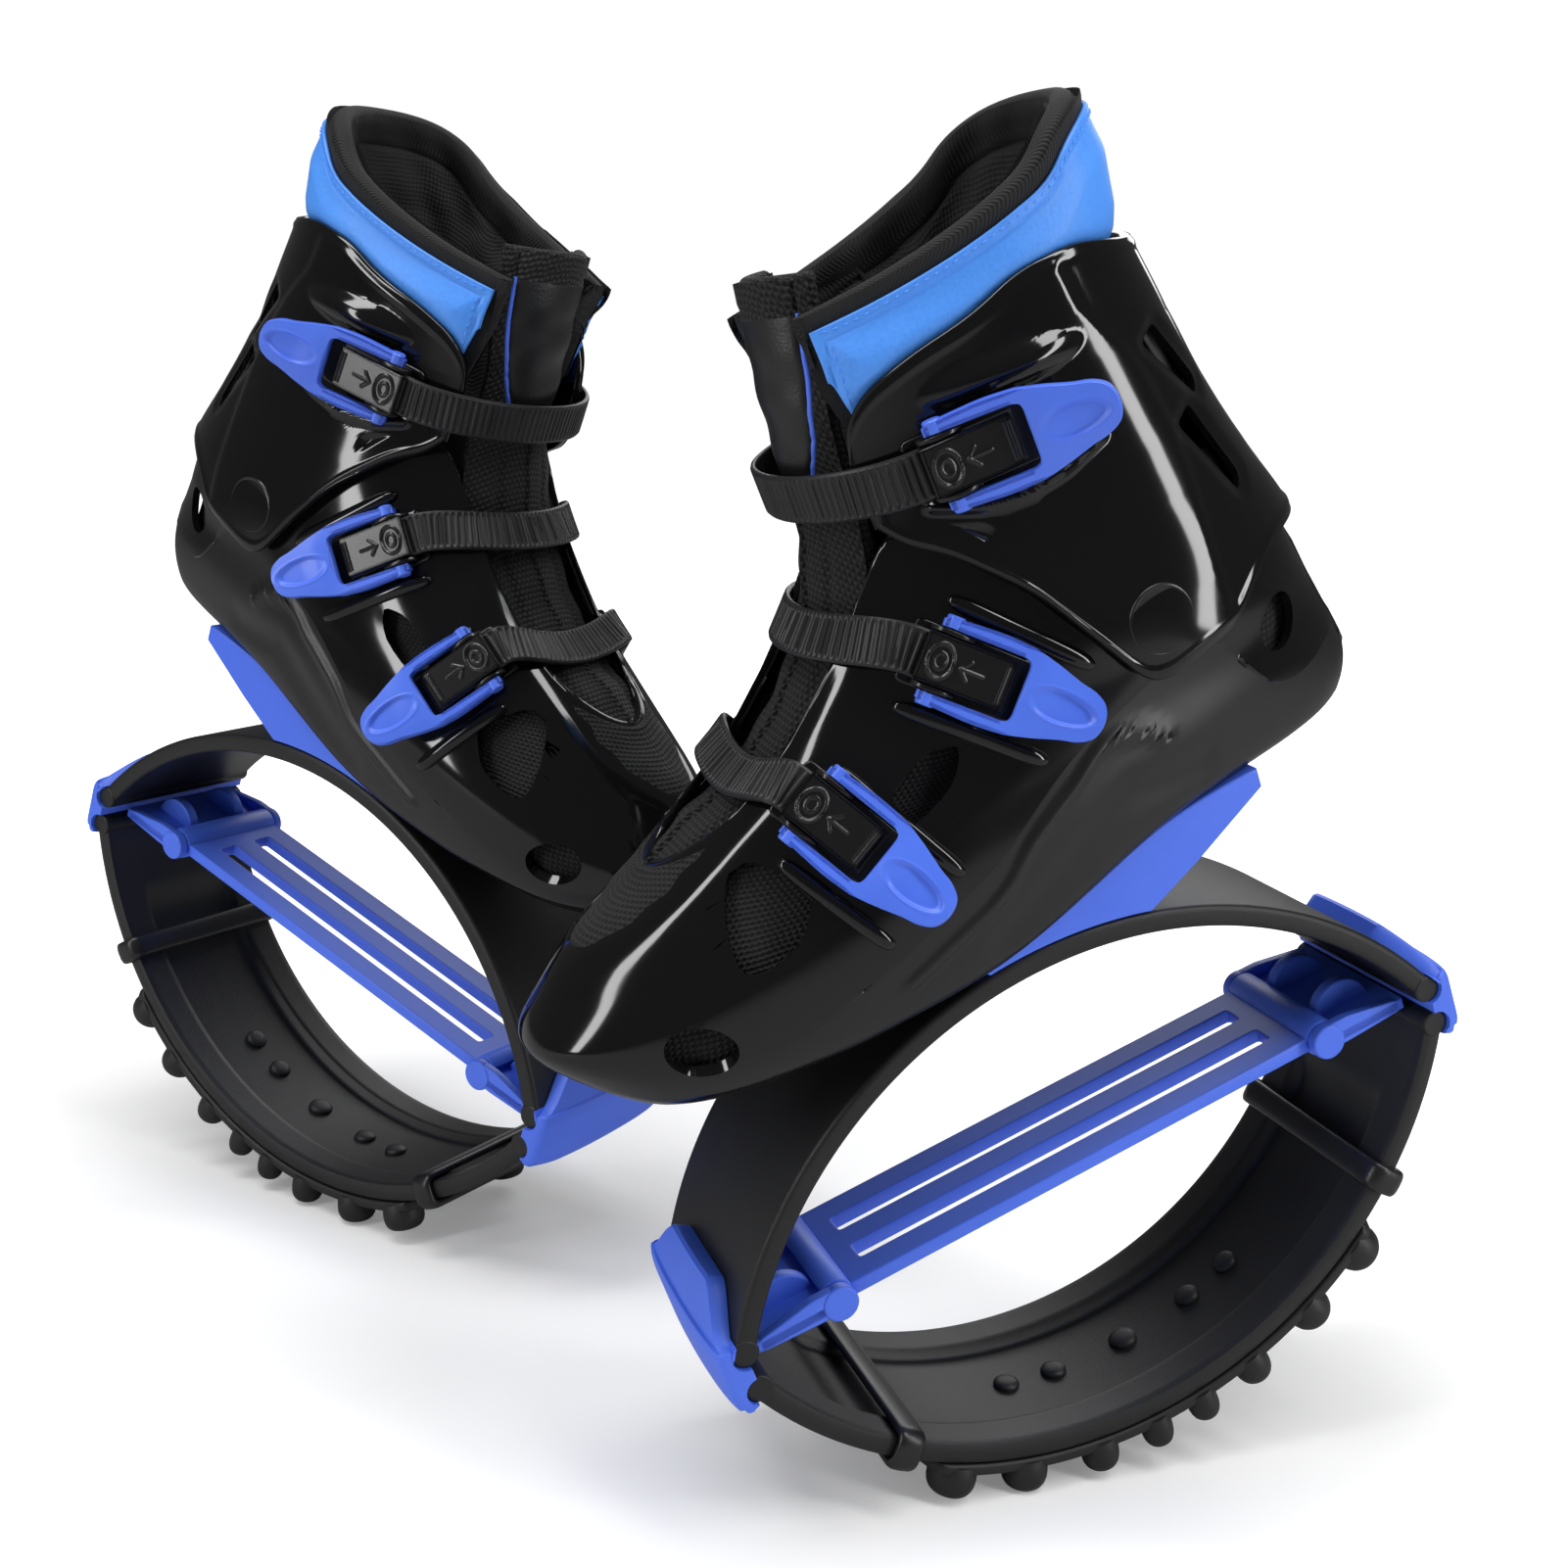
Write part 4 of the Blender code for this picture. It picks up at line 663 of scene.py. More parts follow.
def inset(outline, d):
    """A closed flat outline drawn in by d: each corner moves along the bisector of its two
    sides, further where the corner is sharp."""
    back = normed(outline - np.roll(outline, 1, 0))
    on = normed(np.roll(outline, -1, 0) - outline)
    n1 = np.stack((-back[:, 1], back[:, 0]), -1)
    n2 = np.stack((-on[:, 1], on[:, 0]), -1)
    n = normed(n1 + n2)
    n /= np.clip((n * n1).sum(1, keepdims=True), 0.5, 1)
    x, z = outline.T
    area = (x * np.roll(z, -1) - np.roll(x, -1) * z).sum()
    return outline + n * d * np.sign(area)


def slab(body, loops, low, high, axes, radius, mark=0.0, steps=3, hold=0.0003):
    """A flat outline, with or without holes, given thickness: straight sides, quarter-round
    edges of the radius and flat faces, which start a narrow border, hold, inside the edge.
    axes gives the directions of the outline's two lengths and of the thickness."""
    axes = np.asarray(axes, float)
    loops = [np.asarray(loop, float) for loop in loops]
    turn = np.linspace(0, pi / 2, steps + 1)
    draw = np.r_[radius * (1 - np.cos(turn))[::-1], radius * (1 - np.cos(turn))]
    level = np.r_[low + radius - radius * np.sin(turn)[::-1],
                  high - radius + radius * np.sin(turn)]
    draw = np.r_[draw[0] + hold, draw, draw[-1] + hold]
    level = np.r_[level[0], level, level[-1]]
    ends = [[], []]
    for number, loop in enumerate(loops):
        sign = 1 if number == 0 else -1
        rings = np.stack([np.column_stack((inset(loop, d * sign), np.full(len(loop), w)))
                          for d, w in zip(draw, level)])
        body.grid(rings @ axes, wrap=True, mark=mark)
        ends[0].append(rings[0])
        ends[1].append(rings[-1])
    for end in ends:
        body.panel(end, np.concatenate(end) @ axes, mark)
    return body


# Directions of an outline's two lengths and of its thickness: in the side view and in plan
SIDE = ((1, 0, 0), (0, 0, 1), (0, 1, 0))
PLAN = ((1, 0, 0), (0, 1, 0), (0, 0, 1))


def plate(body, middle, wall, radius=None, front=0.0, back=0.0, mark=0.0, wrap=False, steps=4,
          openings=()):
    """A sheet of even thickness round a middle surface, with rounded edges. The edge rows
    go outward by the sine and towards the middle by the cosine of a quarter turn; front and
    back lift the two faces point by point, and openings are cut through it in the side
    view."""
    half = wall / 2
    r = half if radius is None else radius
    middle = np.array(middle, float)
    n = grid_normals(middle, wrap)
    rows, cols = middle.shape[:2]
    margin = 0 if wrap else steps
    keep = None
    if openings:
        middle, keep = cut_windows(middle, n, openings, wrap=wrap)
        keep = np.pad(keep, ((steps, steps), (margin, margin)), constant_values=True)
    up = [normed(middle[0] - middle[1]), normed(middle[-1] - middle[-2])]
    middle[0] -= up[0] * r
    middle[-1] -= up[1] * r
    if not wrap:
        out = [normed(middle[:, 0] - middle[:, 1]), normed(middle[:, -1] - middle[:, -2])]
        middle[:, 0] -= out[0] * r
        middle[:, -1] -= out[1] * r
    turn = np.linspace(0, pi / 2, steps + 1)[1:]

    def spread(values):
        """The values with the edge's repeated for the rounding rows and columns."""
        values = np.broadcast_to(np.asarray(values, float), (rows, cols))
        return np.pad(values, ((steps, steps), (margin, margin)), mode="edge")

    def spread_points(values):
        return np.pad(values, ((steps, steps), (margin, margin), (0, 0)), mode="edge")

    row_turn = np.r_[turn[::-1], np.zeros(rows), turn]
    row_way = np.concatenate((np.repeat(up[0][None], steps, 0), np.zeros((rows, cols, 3)),
                              np.repeat(up[1][None], steps, 0)))
    base = spread_points(middle)
    normal = spread_points(n)
    if wrap:
        col_turn = np.zeros(cols)
        col_way = np.zeros((rows + 2 * steps, cols, 3))
    else:
        col_turn = np.r_[turn[::-1], np.zeros(cols), turn]
        row_way = np.pad(row_way, ((0, 0), (steps, steps), (0, 0)), mode="edge")
        col_way = np.zeros(base.shape)
        first = np.pad(out[0], ((steps, steps), (0, 0)), mode="edge")
        last = np.pad(out[1], ((steps, steps), (0, 0)), mode="edge")
        col_way[:, :steps] = first[:, None]
        col_way[:, -steps:] = last[:, None]
    fall = np.cos(row_turn)[:, None] * np.cos(col_turn)[None]
    base = (base + row_way * (r * np.sin(row_turn))[:, None, None]
            + col_way * (r * np.sin(col_turn))[None, :, None])
    level = half - r + r * fall
    flat = fall > 0.999
    marks = spread(mark)
    tops = base + normal * (level + spread(front) * flat)[..., None]
    lows = base - normal * (level + spread(back) * flat)[..., None]
    a = body.grid(tops, wrap=wrap, keep=keep, mark=marks)
    b = body.grid(lows, wrap=wrap, keep=keep, mark=marks, flip=True)
    if keep is not None:
        join_walls(body, a, b, keep, tops.shape[1])
    if r < half - 1e-6:
        for row in (0, -1):
            body.grid(np.stack((tops[row], lows[row])), wrap=wrap)
        if not wrap:
            for col in (0, -1):
                body.grid(np.stack((tops[:, col], lows[:, col])))
    return body


# The boot's lines, as in the solid: length, rise and half width, then for each line its
# heights at six stations, rear end, front end, half width, widest place and nose power
heel_x, boot_length, sole_level, boot_rise, boot_half = -0.164, 0.328, 0.096, 0.154, 0.056
widest_x, heel_power = -0.062, 2.5
stations = heel_x + boot_length * np.array((0.043, 0.287, 0.546, 0.759, 0.896, 1.0))
line_heights = sole_level + boot_rise * np.array((
    (0.149, 0.146, 0.016, 0.000, 0.016, 0.104), (0.175, 0.172, 0.045, 0.026, 0.045, 0.130),
    (0.247, 0.240, 0.136, 0.104, 0.117, 0.169), (0.338, 0.331, 0.253, 0.208, 0.195, 0.208),
    (0.435, 0.435, 0.377, 0.325, 0.279, 0.260), (0.532, 0.532, 0.494, 0.429, 0.364, 0.325),
    (0.649, 0.649, 0.610, 0.494, 0.383, 0.351), (0.766, 0.766, 0.721, 0.513, 0.416, 0.383),
    (0.883, 0.883, 0.818, 0.532, 0.430, 0.400), (1.000, 1.000, 0.935, 0.545, 0.450, 0.420)))
line_forms = np.array((
    (0.047, 0.963, 0.84, 0.62, 2.4), (0.028, 0.983, 0.91, 0.62, 2.4),
    (0.014, 0.997, 0.965, 0.62, 2.4), (0.016, 0.998, 1.00, 0.56, 2.3),
    (0.030, 0.976, 0.98, 0.47, 2.1), (0.048, 0.924, 0.97, 0.34, 1.9),
    (0.065, 0.841, 0.98, 0.311, 1.7), (0.090, 0.756, 0.94, 0.311, 1.6),
    (0.116, 0.652, 0.90, 0.311, 1.6), (0.140, 0.585, 0.865, 0.311, 1.6)))
rim_line = np.array(((-0.1, 0.86), (0.12, 0.86), (0.30, 0.92), (0.505, 0.965), (0.62, 0.99)))
rim_line = rim_line * (boot_length, boot_rise) + (heel_x, sole_level)
toe_turn = 0.005

# The instep opening: its tip, half width, and the length over which it widens, and how far up
# the boot it starts
opening_tip, opening_half, opening_run, opening_share = 0.101, 0.0265, 0.055, 0.30


def toe_shift(x):
    """The toe turns inward, as the square of the way over the front half."""
    return -toe_turn * np.clip(x / (heel_x + boot_length), 0, 1) ** 2


def power_oval(turn, rear, front, half, widest, nose_power, heel_power):
    """Plan outline round the foot: lengths times the cosine and sine of the turn, each raised
    to 2 over the power."""
    c, s = np.cos(turn), np.sin(turn)
    power = np.where(c >= 0, nose_power, heel_power)
    reach = np.where(c >= 0, front - widest, widest - rear)
    x = widest + reach * np.sign(c) * np.abs(c) ** (2 / power)
    y = half * np.sign(s) * np.abs(s) ** (2 / power)
    return x, y


def station_heights(rows, x):
    """Heights of lines at x: third-degree curves through the six stations, level at the
    ends, whose slope at a station is the mean of the slopes beside it."""
    gap = np.diff(stations)
    slope = np.diff(rows, axis=-1) / gap
    level = np.zeros(rows.shape[:-1] + (1,))
    m = np.concatenate((level, (slope[..., 1:] + slope[..., :-1]) / 2, level), -1)
    k = np.clip(np.searchsorted(stations, x) - 1, 0, 4)
    t = np.clip((x - stations[k]) / gap[k], 0, 1)

    def at(values, index):
        return np.take_along_axis(values, index[..., None], -1)[..., 0]

    a, b = at(rows, k), at(rows, k + 1)
    return (a * (1 + 2 * t) * (1 - t) ** 2 + at(m, k) * gap[k] * t * (1 - t) ** 2
            + b * t * t * (3 - 2 * t) + at(m, k + 1) * gap[k] * t * t * (t - 1))


def boot_surface(turn, v, draw=0.0):
    """The boot's form at a turn round the foot and a line number v from sole to rim, drawn
    in by draw."""
    turn, v = np.broadcast_arrays(turn, v)
    forms = catmull(line_forms, v)
    x, y = power_oval(turn, heel_x + boot_length * forms[..., 0] + draw,
                      heel_x + boot_length * forms[..., 1] - draw,
                      boot_half * forms[..., 2] - draw, heel_x + boot_length * forms[..., 3],
                      forms[..., 4], heel_power)
    z = station_heights(catmull(line_heights, v), x)
    return np.stack((x, y + toe_shift(x), z), -1)


def sole_height(x):
    """Underside of the boot at x."""
    x = np.asarray(x, float)
    return station_heights(np.broadcast_to(line_heights[0], x.shape + (6,)), x)


def beyond_rim(p, grow=0.0):
    """Above 0 where a point of the boot's form lies over the rim or in the instep opening."""
    x, y, z = p[..., 0], p[..., 1] - toe_shift(p[..., 0]), p[..., 2]
    over = z - np.interp(x, rim_line[:, 0], rim_line[:, 1])
    tip = opening_tip + grow
    share = np.clip((tip - x) / opening_run, 0, 1)
    half = (opening_half + grow) * np.sqrt(1 - (1 - share) ** 2)
    inside = np.where(x < tip, half - np.abs(y), tip - x)
    return np.maximum(over, np.where(z > sole_level + opening_share * boot_rise, inside, -1))


def rim_rows(turn, beyond, low=2.5):
    """For each turn, the line number where the form meets the rim: the first sample beyond
    it, then the straight line between two samples, then a running mean round the boot."""
    samples, smooth = 700, 5
    v = np.linspace(low, len(line_forms) - 1, samples)
    f = beyond(boot_surface(turn[None], v[:, None]))
    hit = np.argmax(f > 0, 0)
    hit = np.where(f.max(0) > 0, np.maximum(hit, 1), samples - 1)
    column = np.arange(len(turn))
    a, b = f[hit - 1, column], f[hit, column]
    share = np.clip(a / np.where(a - b == 0, -1, a - b), 0, 1)
    line = v[hit - 1] + share * (v[1] - v[0])
    weights = np.hanning(2 * smooth + 1)
    padded = np.r_[line[-smooth:], line, line[:smooth]]
    return np.convolve(padded, weights / weights.sum(), mode="valid")


def side_relief(p, points, height, width):
    """A ridge along a line of the side view, on both sides of the boot but not across its
    middle: height times a bell of the distance from the line."""
    wide = step(np.abs(p[..., 1]), 0.010, 0.0275)
    return height * wide * bell(distance(p[..., 0], p[..., 2], np.asarray(points)), width)


# Lines of the shell in the side view
parting_line = np.array(((-0.170, 0.156), (-0.150, 0.150), (-0.139, 0.1485), (-0.127, 0.1430),
                         (-0.112, 0.1460), (-0.1035, 0.1560), (-0.095, 0.1700),
                         (-0.0803, 0.1767), (-0.0737, 0.1751), (-0.0570, 0.1692),
                         (-0.0364, 0.1625), (-0.0201, 0.1549), (0.0022, 0.1392),
                         (0.0224, 0.1313), (0.0458, 0.1215), (0.0700, 0.1145),
                         (0.1000, 0.1060), (0.1300, 0.1050), (0.1700, 0.1160)))
bead_line = ((-0.0646, 0.1500), (-0.0590, 0.1555), (-0.0536, 0.1580), (-0.0470, 0.1592),
             (-0.0409, 0.1586), (-0.0340, 0.1550), (-0.0298, 0.1513), (-0.0180, 0.1450),
             (-0.0071, 0.1386), (0.0042, 0.1280), (0.0130, 0.1232), (0.0236, 0.1195),
             (0.0467, 0.1106))
upper_rails = (((-0.0094, 0.2219), (-0.0259, 0.2045), (-0.0453, 0.1847)),
               ((0.0189, 0.1973), (0.0, 0.1808), (-0.0205, 0.1618)),
               ((0.0426, 0.1857), (0.0317, 0.1640), (0.0184, 0.1394)),
               ((0.0699, 0.1647), (0.0600, 0.1476), (0.0479, 0.1271)))


def tilted(centre, points, tilt):
    """Points turned by the tilt and moved to the centre."""
    u, w = np.asarray(points, float).T
    return np.stack((centre[0] + u * cos(tilt) - w * sin(tilt),
                     centre[1] + u * sin(tilt) + w * cos(tilt)), -1)


def ellipse(centre, size, tilt):
    turn = circle_turns(48)
    return tilted(centre, np.stack((size[0] * np.cos(turn), size[1] * np.sin(turn)), -1), tilt)


drop_shares = np.array(((-0.5, -0.42), (-0.5, 0.42), (-0.2, 0.5), (0.2, 0.34), (0.45, 0.12),
                        (0.5, -0.05), (0.36, -0.26), (0.0, -0.5)))


def drop(centre, length, width, tilt):
    """The rounded wedge of the two larger windows."""
    return tilted(centre, rounded(drop_shares * (length, width), 0.004, 6), tilt)


middle_window = np.array(((0.0040, 0.1790), (0.0090, 0.1690), (0.0200, 0.1630),
                          (0.0300, 0.1600), (0.0360, 0.1650), (0.0280, 0.1735),
                          (0.0150, 0.1800)))
windows = (ellipse((0.1160, 0.1175), (0.0115, 0.0085), radians(25)),
           ellipse((-0.1185, 0.1665), (0.0085, 0.0100), radians(25)),
           drop((0.083, 0.149), 0.034, 0.026, radians(-48)),
           rounded(middle_window, 0.004, 6))
toe_slot = rounded(oblong(-0.013, 0.013, 0.1105, 0.1160), 0.002, 5)


def inside(x, z, outline):
    """Whether points lie inside a closed outline: an odd number of its sides lies to one
    side of them."""
    found = np.zeros(np.shape(x), bool)
    for (ax, az), (bx, bz) in zip(outline, np.roll(outline, -1, 0)):
        if az == bz:
            continue
        crosses = (az > z) != (bz > z)
        found ^= crosses & (x < (bx - ax) * (z - az) / (bz - az) + ax)
    return found


def nearest(x, z, outline):
    """The step from each point to the nearest place on a closed outline."""
    best = np.full(np.shape(x), 9.0)
    dx, dz = np.zeros(np.shape(x)), np.zeros(np.shape(x))
    for (ax, az), (bx, bz) in zip(outline, np.roll(outline, -1, 0)):
        ux, uz = bx - ax, bz - az
        t = np.clip(((x - ax) * ux + (z - az) * uz) / max(ux * ux + uz * uz, 1e-18), 0, 1)
        gx, gz = ax + t * ux - x, az + t * uz - z
        d = np.hypot(gx, gz)
        closer = d < best
        best = np.where(closer, d, best)
        dx, dz = np.where(closer, gx, dx), np.where(closer, gz, dz)
    return dx, dz


def cut_windows(p, n, outlines, slots=(), wrap=True):
    """Takes out the cells whose middle lies in a window, in the side view or for the slots
    in the front view, and moves the points round the opening onto the window's outline,
    along the surface."""
    rows, cols = p.shape[:2]
    middle = (p[:-1] + p[1:]) / 2
    middle = (middle + np.roll(middle, -1, 1)) / 2
    keep = np.ones((rows - 1, cols), bool)
    moved = p.copy()
    jobs = [(o, 0, 1, -1.0) for o in outlines] + [(o, 1, 0, 0.1) for o in slots]
    for outline, flat, deep, least in jobs:
        out = inside(middle[..., flat], middle[..., 2], outline) & (middle[..., 0] > least)
        keep &= ~out
        count = np.zeros((rows, cols), int)
        for di in (0, 1):
            for dj in (0, 1):
                count[di:rows - 1 + di] += np.roll(out, dj, 1)
        edge = (count > 0) & (count < 4)
        dx, dz = nearest(p[..., flat], p[..., 2], outline)
        deep_n = np.where(np.abs(n[..., deep]) < 0.2, 0.2, n[..., deep])
        change = np.zeros(p.shape)
        change[..., flat], change[..., 2] = dx, dz
        change[..., deep] = -(n[..., flat] * dx + n[..., 2] * dz) / deep_n
        moved = np.where(edge[..., None], p + change, moved)
    return moved, keep if wrap else keep[:, :-1]


def join_walls(body, start_a, start_b, keep, cols):
    """Walls of the openings: a strip between the same edge of two grids wherever one of
    its two cells is kept and the other is not."""
    i, j = np.nonzero(keep[1:] != keep[:-1])
    a, b = (i + 1) * cols + j, (i + 1) * cols + (j + 1) % cols
    strips = [np.stack((start_a + a, start_a + b, start_b + b, start_b + a), -1)]
    if keep.shape[1] == cols:
        i, j = np.nonzero(keep != np.roll(keep, 1, 1))
    else:
        i, j = np.nonzero(keep[:, 1:] != keep[:, :-1])
        j = j + 1
    a, b = i * cols + j, (i + 1) * cols + j
    strips.append(np.stack((start_a + a, start_a + b, start_b + b, start_b + a), -1))
    faces = np.concatenate(strips)
    body.add_faces(faces, np.zeros((len(faces), 4, 2)))


def on_side(p, n, line, side):
    """A line of the side view laid on a grid's outer or inner side: each place takes its
    depth from the tangent plane at the nearest grid point."""
    line = smooth_line(line, 60)
    here = p[..., 1] * side > 0.004
    q, m = p[here], n[here]
    best = np.argmin((line[:, None, 0] - q[None, :, 0]) ** 2
                     + (line[:, None, 1] - q[None, :, 2]) ** 2, 1)
    q, m = q[best], m[best]
    deep = np.where(np.abs(m[:, 1]) < 0.2, 0.2, m[:, 1])
    y = q[:, 1] - (m[:, 0] * (line[:, 0] - q[:, 0]) + m[:, 2] * (line[:, 1] - q[:, 2])) / deep
    return np.stack((line[:, 0], y, line[:, 1]), -1), m


def rail(body, place, n, half, height):
    """A moulded rail: a half-round section along a line on the surface, tapered at its ends
    by the fourth power of the way from its middle."""
    t = np.linspace(-1, 1, len(place))[:, None]
    full = np.sqrt(np.clip(1 - t ** 8, 0.0, 1))
    side = normed(np.cross(normed(np.gradient(place, axis=0)), n))
    turn = np.linspace(-0.25 * pi, 1.25 * pi, 15)
    rings = (place[:, None] + side[:, None] * (np.cos(turn)[:, None] * half * full[:, None])
             + n[:, None] * (np.sin(turn)[:, None] * height * full[:, None]))
    body.tube(rings)
    return body


def shell_turns(count):
    """Turns round the boot whose columns stand closer at its sides than at its ends."""
    fine = np.linspace(0, 2 * pi, 4001)
    p = boot_surface(fine, 3.0)
    length = np.linalg.norm(np.diff(p, axis=0), axis=1)
    middle = (p[1:, 0] + p[:-1, 0]) / 2
    weight = 1 + 0.9 * step(middle, -0.125, -0.10) * (1 - step(middle, 0.115, 0.135))
    run = np.r_[0, np.cumsum(length * weight)]
    return np.interp((np.arange(count) + 0.5) / count * run[-1], run, fine)


def boot_shell():
    """The hard shell: the boot's form from the sole to the rim, its rim rounded, windows
    and a toe slot cut through, rails beside the buckles, a soft bead, and the sole closed
    across. One row of the grid follows the parting line, where the surface steps in."""
    wall = 0.003
    cols = 364
    turn = shell_turns(cols)
    top = rim_rows(turn, beyond_rim)
    part = rim_rows(turn, lambda q: q[..., 2] - np.interp(q[..., 0], parting_line[:, 0],
                                                          parting_line[:, 1]), low=0.5)
    part = np.minimum(part, top - 0.6)
    below, over = np.linspace(0, 1, 34), np.linspace(0, 1, 56)[1:]
    below = np.r_[below[:-1], 0.985, 1][:, None]
    over = np.r_[0.008, over][:, None]
    v = np.concatenate((part * below, part + (top - part) * over))
    p = boot_surface(turn, v)
    n = grid_normals(p, True)
    x = p[..., 0]
    under = np.zeros(v.shape)
    under[:len(below) - 1] = 1
    strong = step(x, -0.155, -0.14) * (1 - step(x, 0.045, 0.075))
    mark = np.where(under > 0, 0.15 + 0.85 * (1 - step(x, 0.05, 0.12)), 0.0)
    lift = -0.0007 * under * strong
    lift = lift + side_relief(p, bead_line, 0.0013, 0.0040)
    hollow = ((-0.075, 0.133), (-0.045, 0.138), (-0.015, 0.121), (0.010, 0.109))
    lift = lift - side_relief(p, hollow, 0.0011, 0.0110)
    rim = np.linalg.norm(p - p[-1:], axis=-1)
    lift = lift * step(rim, 0.001, 0.004) + 0.0004 * bell(rim - 0.0032, 0.0022)
    p = p + n * lift[..., None]
    n = grid_normals(p, True)
    moved, keep = cut_windows(p, n, windows, (toe_slot,))
    inner = moved - n * wall
    inner[..., 2] += 0.005 * (1 - step(v, 0, 3))
    body = Body()
    maps = spread_lengths(p, True)
    a = body.grid(moved, wrap=True, keep=keep, mark=mark, maps=maps)
    b = body.grid(inner, wrap=True, keep=keep, mark=0.0, maps=maps, flip=True)
    join_walls(body, a, b, keep, cols)
    way = normed(moved[-1] - moved[-2])
    swing = np.linspace(0, pi, 7)[:, None, None]
    across = moved[-1] - inner[-1]
    mid = (moved[-1] + inner[-1]) / 2
    lip = mid + across / 2 * np.cos(swing) + way * (wall / 2) * np.sin(swing)
    body.grid(lip, wrap=True)
    for ring, outside in ((moved[0], True), (inner[0], False)):
        share = np.linspace(1, 0, 9)[:, None]
        middle = toe_shift(ring[:, 0])
        sole = np.broadcast_to(ring, (len(share),) + ring.shape).copy()
        sole[..., 1] = middle + (ring[:, 1] - middle) * share
        body.grid(sole, wrap=True, mark=float(outside), flip=outside)
    for line in upper_rails:
        for side in (-1, 1):
            place, out = on_side(p, n, line, side)
            rail(body, place + out * 0.0006, out, 0.0030, 0.0022)
    return body


def sole_pad():
    """The pad that seats the boot's front half on the upper leaf."""
    line = np.linspace(0.050, 0.0215, 12)
    outline = [(0.0215, 0.104), (0.050, 0.104)]
    outline += list(zip(line, leaf_top(line, 0.0045)))
    return slab(Body(), [outline], -0.030, 0.030, SIDE, 0.0008, mark=1.0)


# The frame: radius and centre height of each leaf, the leaves' half width and half
# thickness, the beads along their ends, and the caps' barrels that hold the spring
upper_radius, upper_centre = 0.16042, -0.06992
lower_radius, lower_centre = 0.15396, 0.05546
leaf_half, leaf_skin = 0.041, 0.004
bead_x, bead_z, bead_radius, bead_half = 0.1405, 0.0075, 0.005, 0.0413
barrel_x = 0.1025


def leaf_top(x, off):
    """Height of the upper leaf's middle at x, off its middle by a distance outward."""
    return upper_centre + np.sqrt((upper_radius + off) ** 2 - np.asarray(x) ** 2)


def lower_place(angle, off):
    """A place on the lower leaf, by its angle from straight down."""
    angle = np.asarray(angle, float)
    r = lower_radius + off
    return np.stack((r * np.sin(angle), lower_centre - r * np.cos(angle)), -1)


def region(table, base, height, front_edge, top_line, bottom_line, cols, rows, twist=0.0,
           draw=0.0):
    """A wall open at the front, between two lines of the side view. Level rings are read
    off the table; s runs round the back from one front edge to the other, and each column
    goes from the bottom line to the top line, found by eight rounds of reading the line at
    the column's own place."""
    half, nose_power, back_power, spread = 0.0613, 2.1, 2.3, 1.2
    table = np.array([tuple(row) + (0.0,) * (5 - len(row)) for row in table])
    levels = base + table[:, 0] * height
    s = np.linspace(-1, 1, cols)
    s = np.sign(s) * (1 - (1 - np.abs(s)) ** spread)

    def ring(z, s):
        """The ring's place at a height and a share of the way round."""
        at = np.interp(z, levels, np.arange(len(levels)))
        form = catmull(table[:, 1:], at)
        rear = heel_x + boot_length * form[..., 0] + draw
        front = heel_x + boot_length * form[..., 1] - draw
        limit = np.clip((front_edge - widest_x) / (front - widest_x), 0, 0.999)
        first = np.arccos(limit ** (nose_power / 2))
        turn = pi + s * (pi - first)
        x, y = power_oval(turn, rear, front, form[..., 2] * half - draw, widest_x,
                          nose_power, back_power)
        ahead = np.clip((x - widest_x) / (front - widest_x), 0, 1)
        return x, y - twist * form[..., 3] * ahead

    low = np.full(cols, bottom_line[:, 1].min())
    high = np.full(cols, top_line[:, 1].max())
    for _ in range(8):
        low = np.interp(ring(low, s)[0], bottom_line[:, 0], bottom_line[:, 1])
        high = np.interp(ring(high, s)[0], top_line[:, 0], top_line[:, 1])
    share = np.linspace(0, 1, rows)[:, None]
    z = low + (high - low) * share
    x, y = ring(z, s)
    return np.stack((x, y, z), -1)


def in_side_view(shares, base, height):
    """Shares of the boot's length and of a height as lengths in the side view."""
    return np.asarray(shares) * (boot_length, height) + (heel_x, base)


cuff_rows = ((0.00, 0.034, 0.690, 0.985), (0.23, 0.046, 0.665, 1.000),
             (0.42, 0.080, 0.625, 0.930), (0.58, 0.105, 0.600, 0.865),
             (0.74, 0.124, 0.590, 0.830), (1.00, 0.152, 0.590, 0.830))
cuff_base, cuff_height = 0.160, 0.156
cuff_top = in_side_view(((0.00, 0.885), (0.17, 0.915), (0.253, 0.962), (0.317, 0.955),
                         (0.372, 0.910), (0.439, 0.878), (0.485, 0.840), (0.509, 0.788),
                         (0.516, 0.700)), cuff_base, cuff_height)
cuff_bottom = in_side_view(((0.00, 0.231), (0.119, 0.231), (0.162, 0.192), (0.207, 0.115),
                            (0.247, 0.096), (0.287, 0.077), (0.311, 0.080), (0.326, 0.109),
                            (0.351, 0.192), (0.399, 0.353), (0.460, 0.481), (0.494, 0.526),
                            (0.512, 0.577)), cuff_base, cuff_height)


def soften(line, radius=0.008):
    """A line of the side view with its corners rounded, in order of x."""
    made = rounded(line, radius, 7, closed=False)
    return made[np.argsort(made[:, 0])]


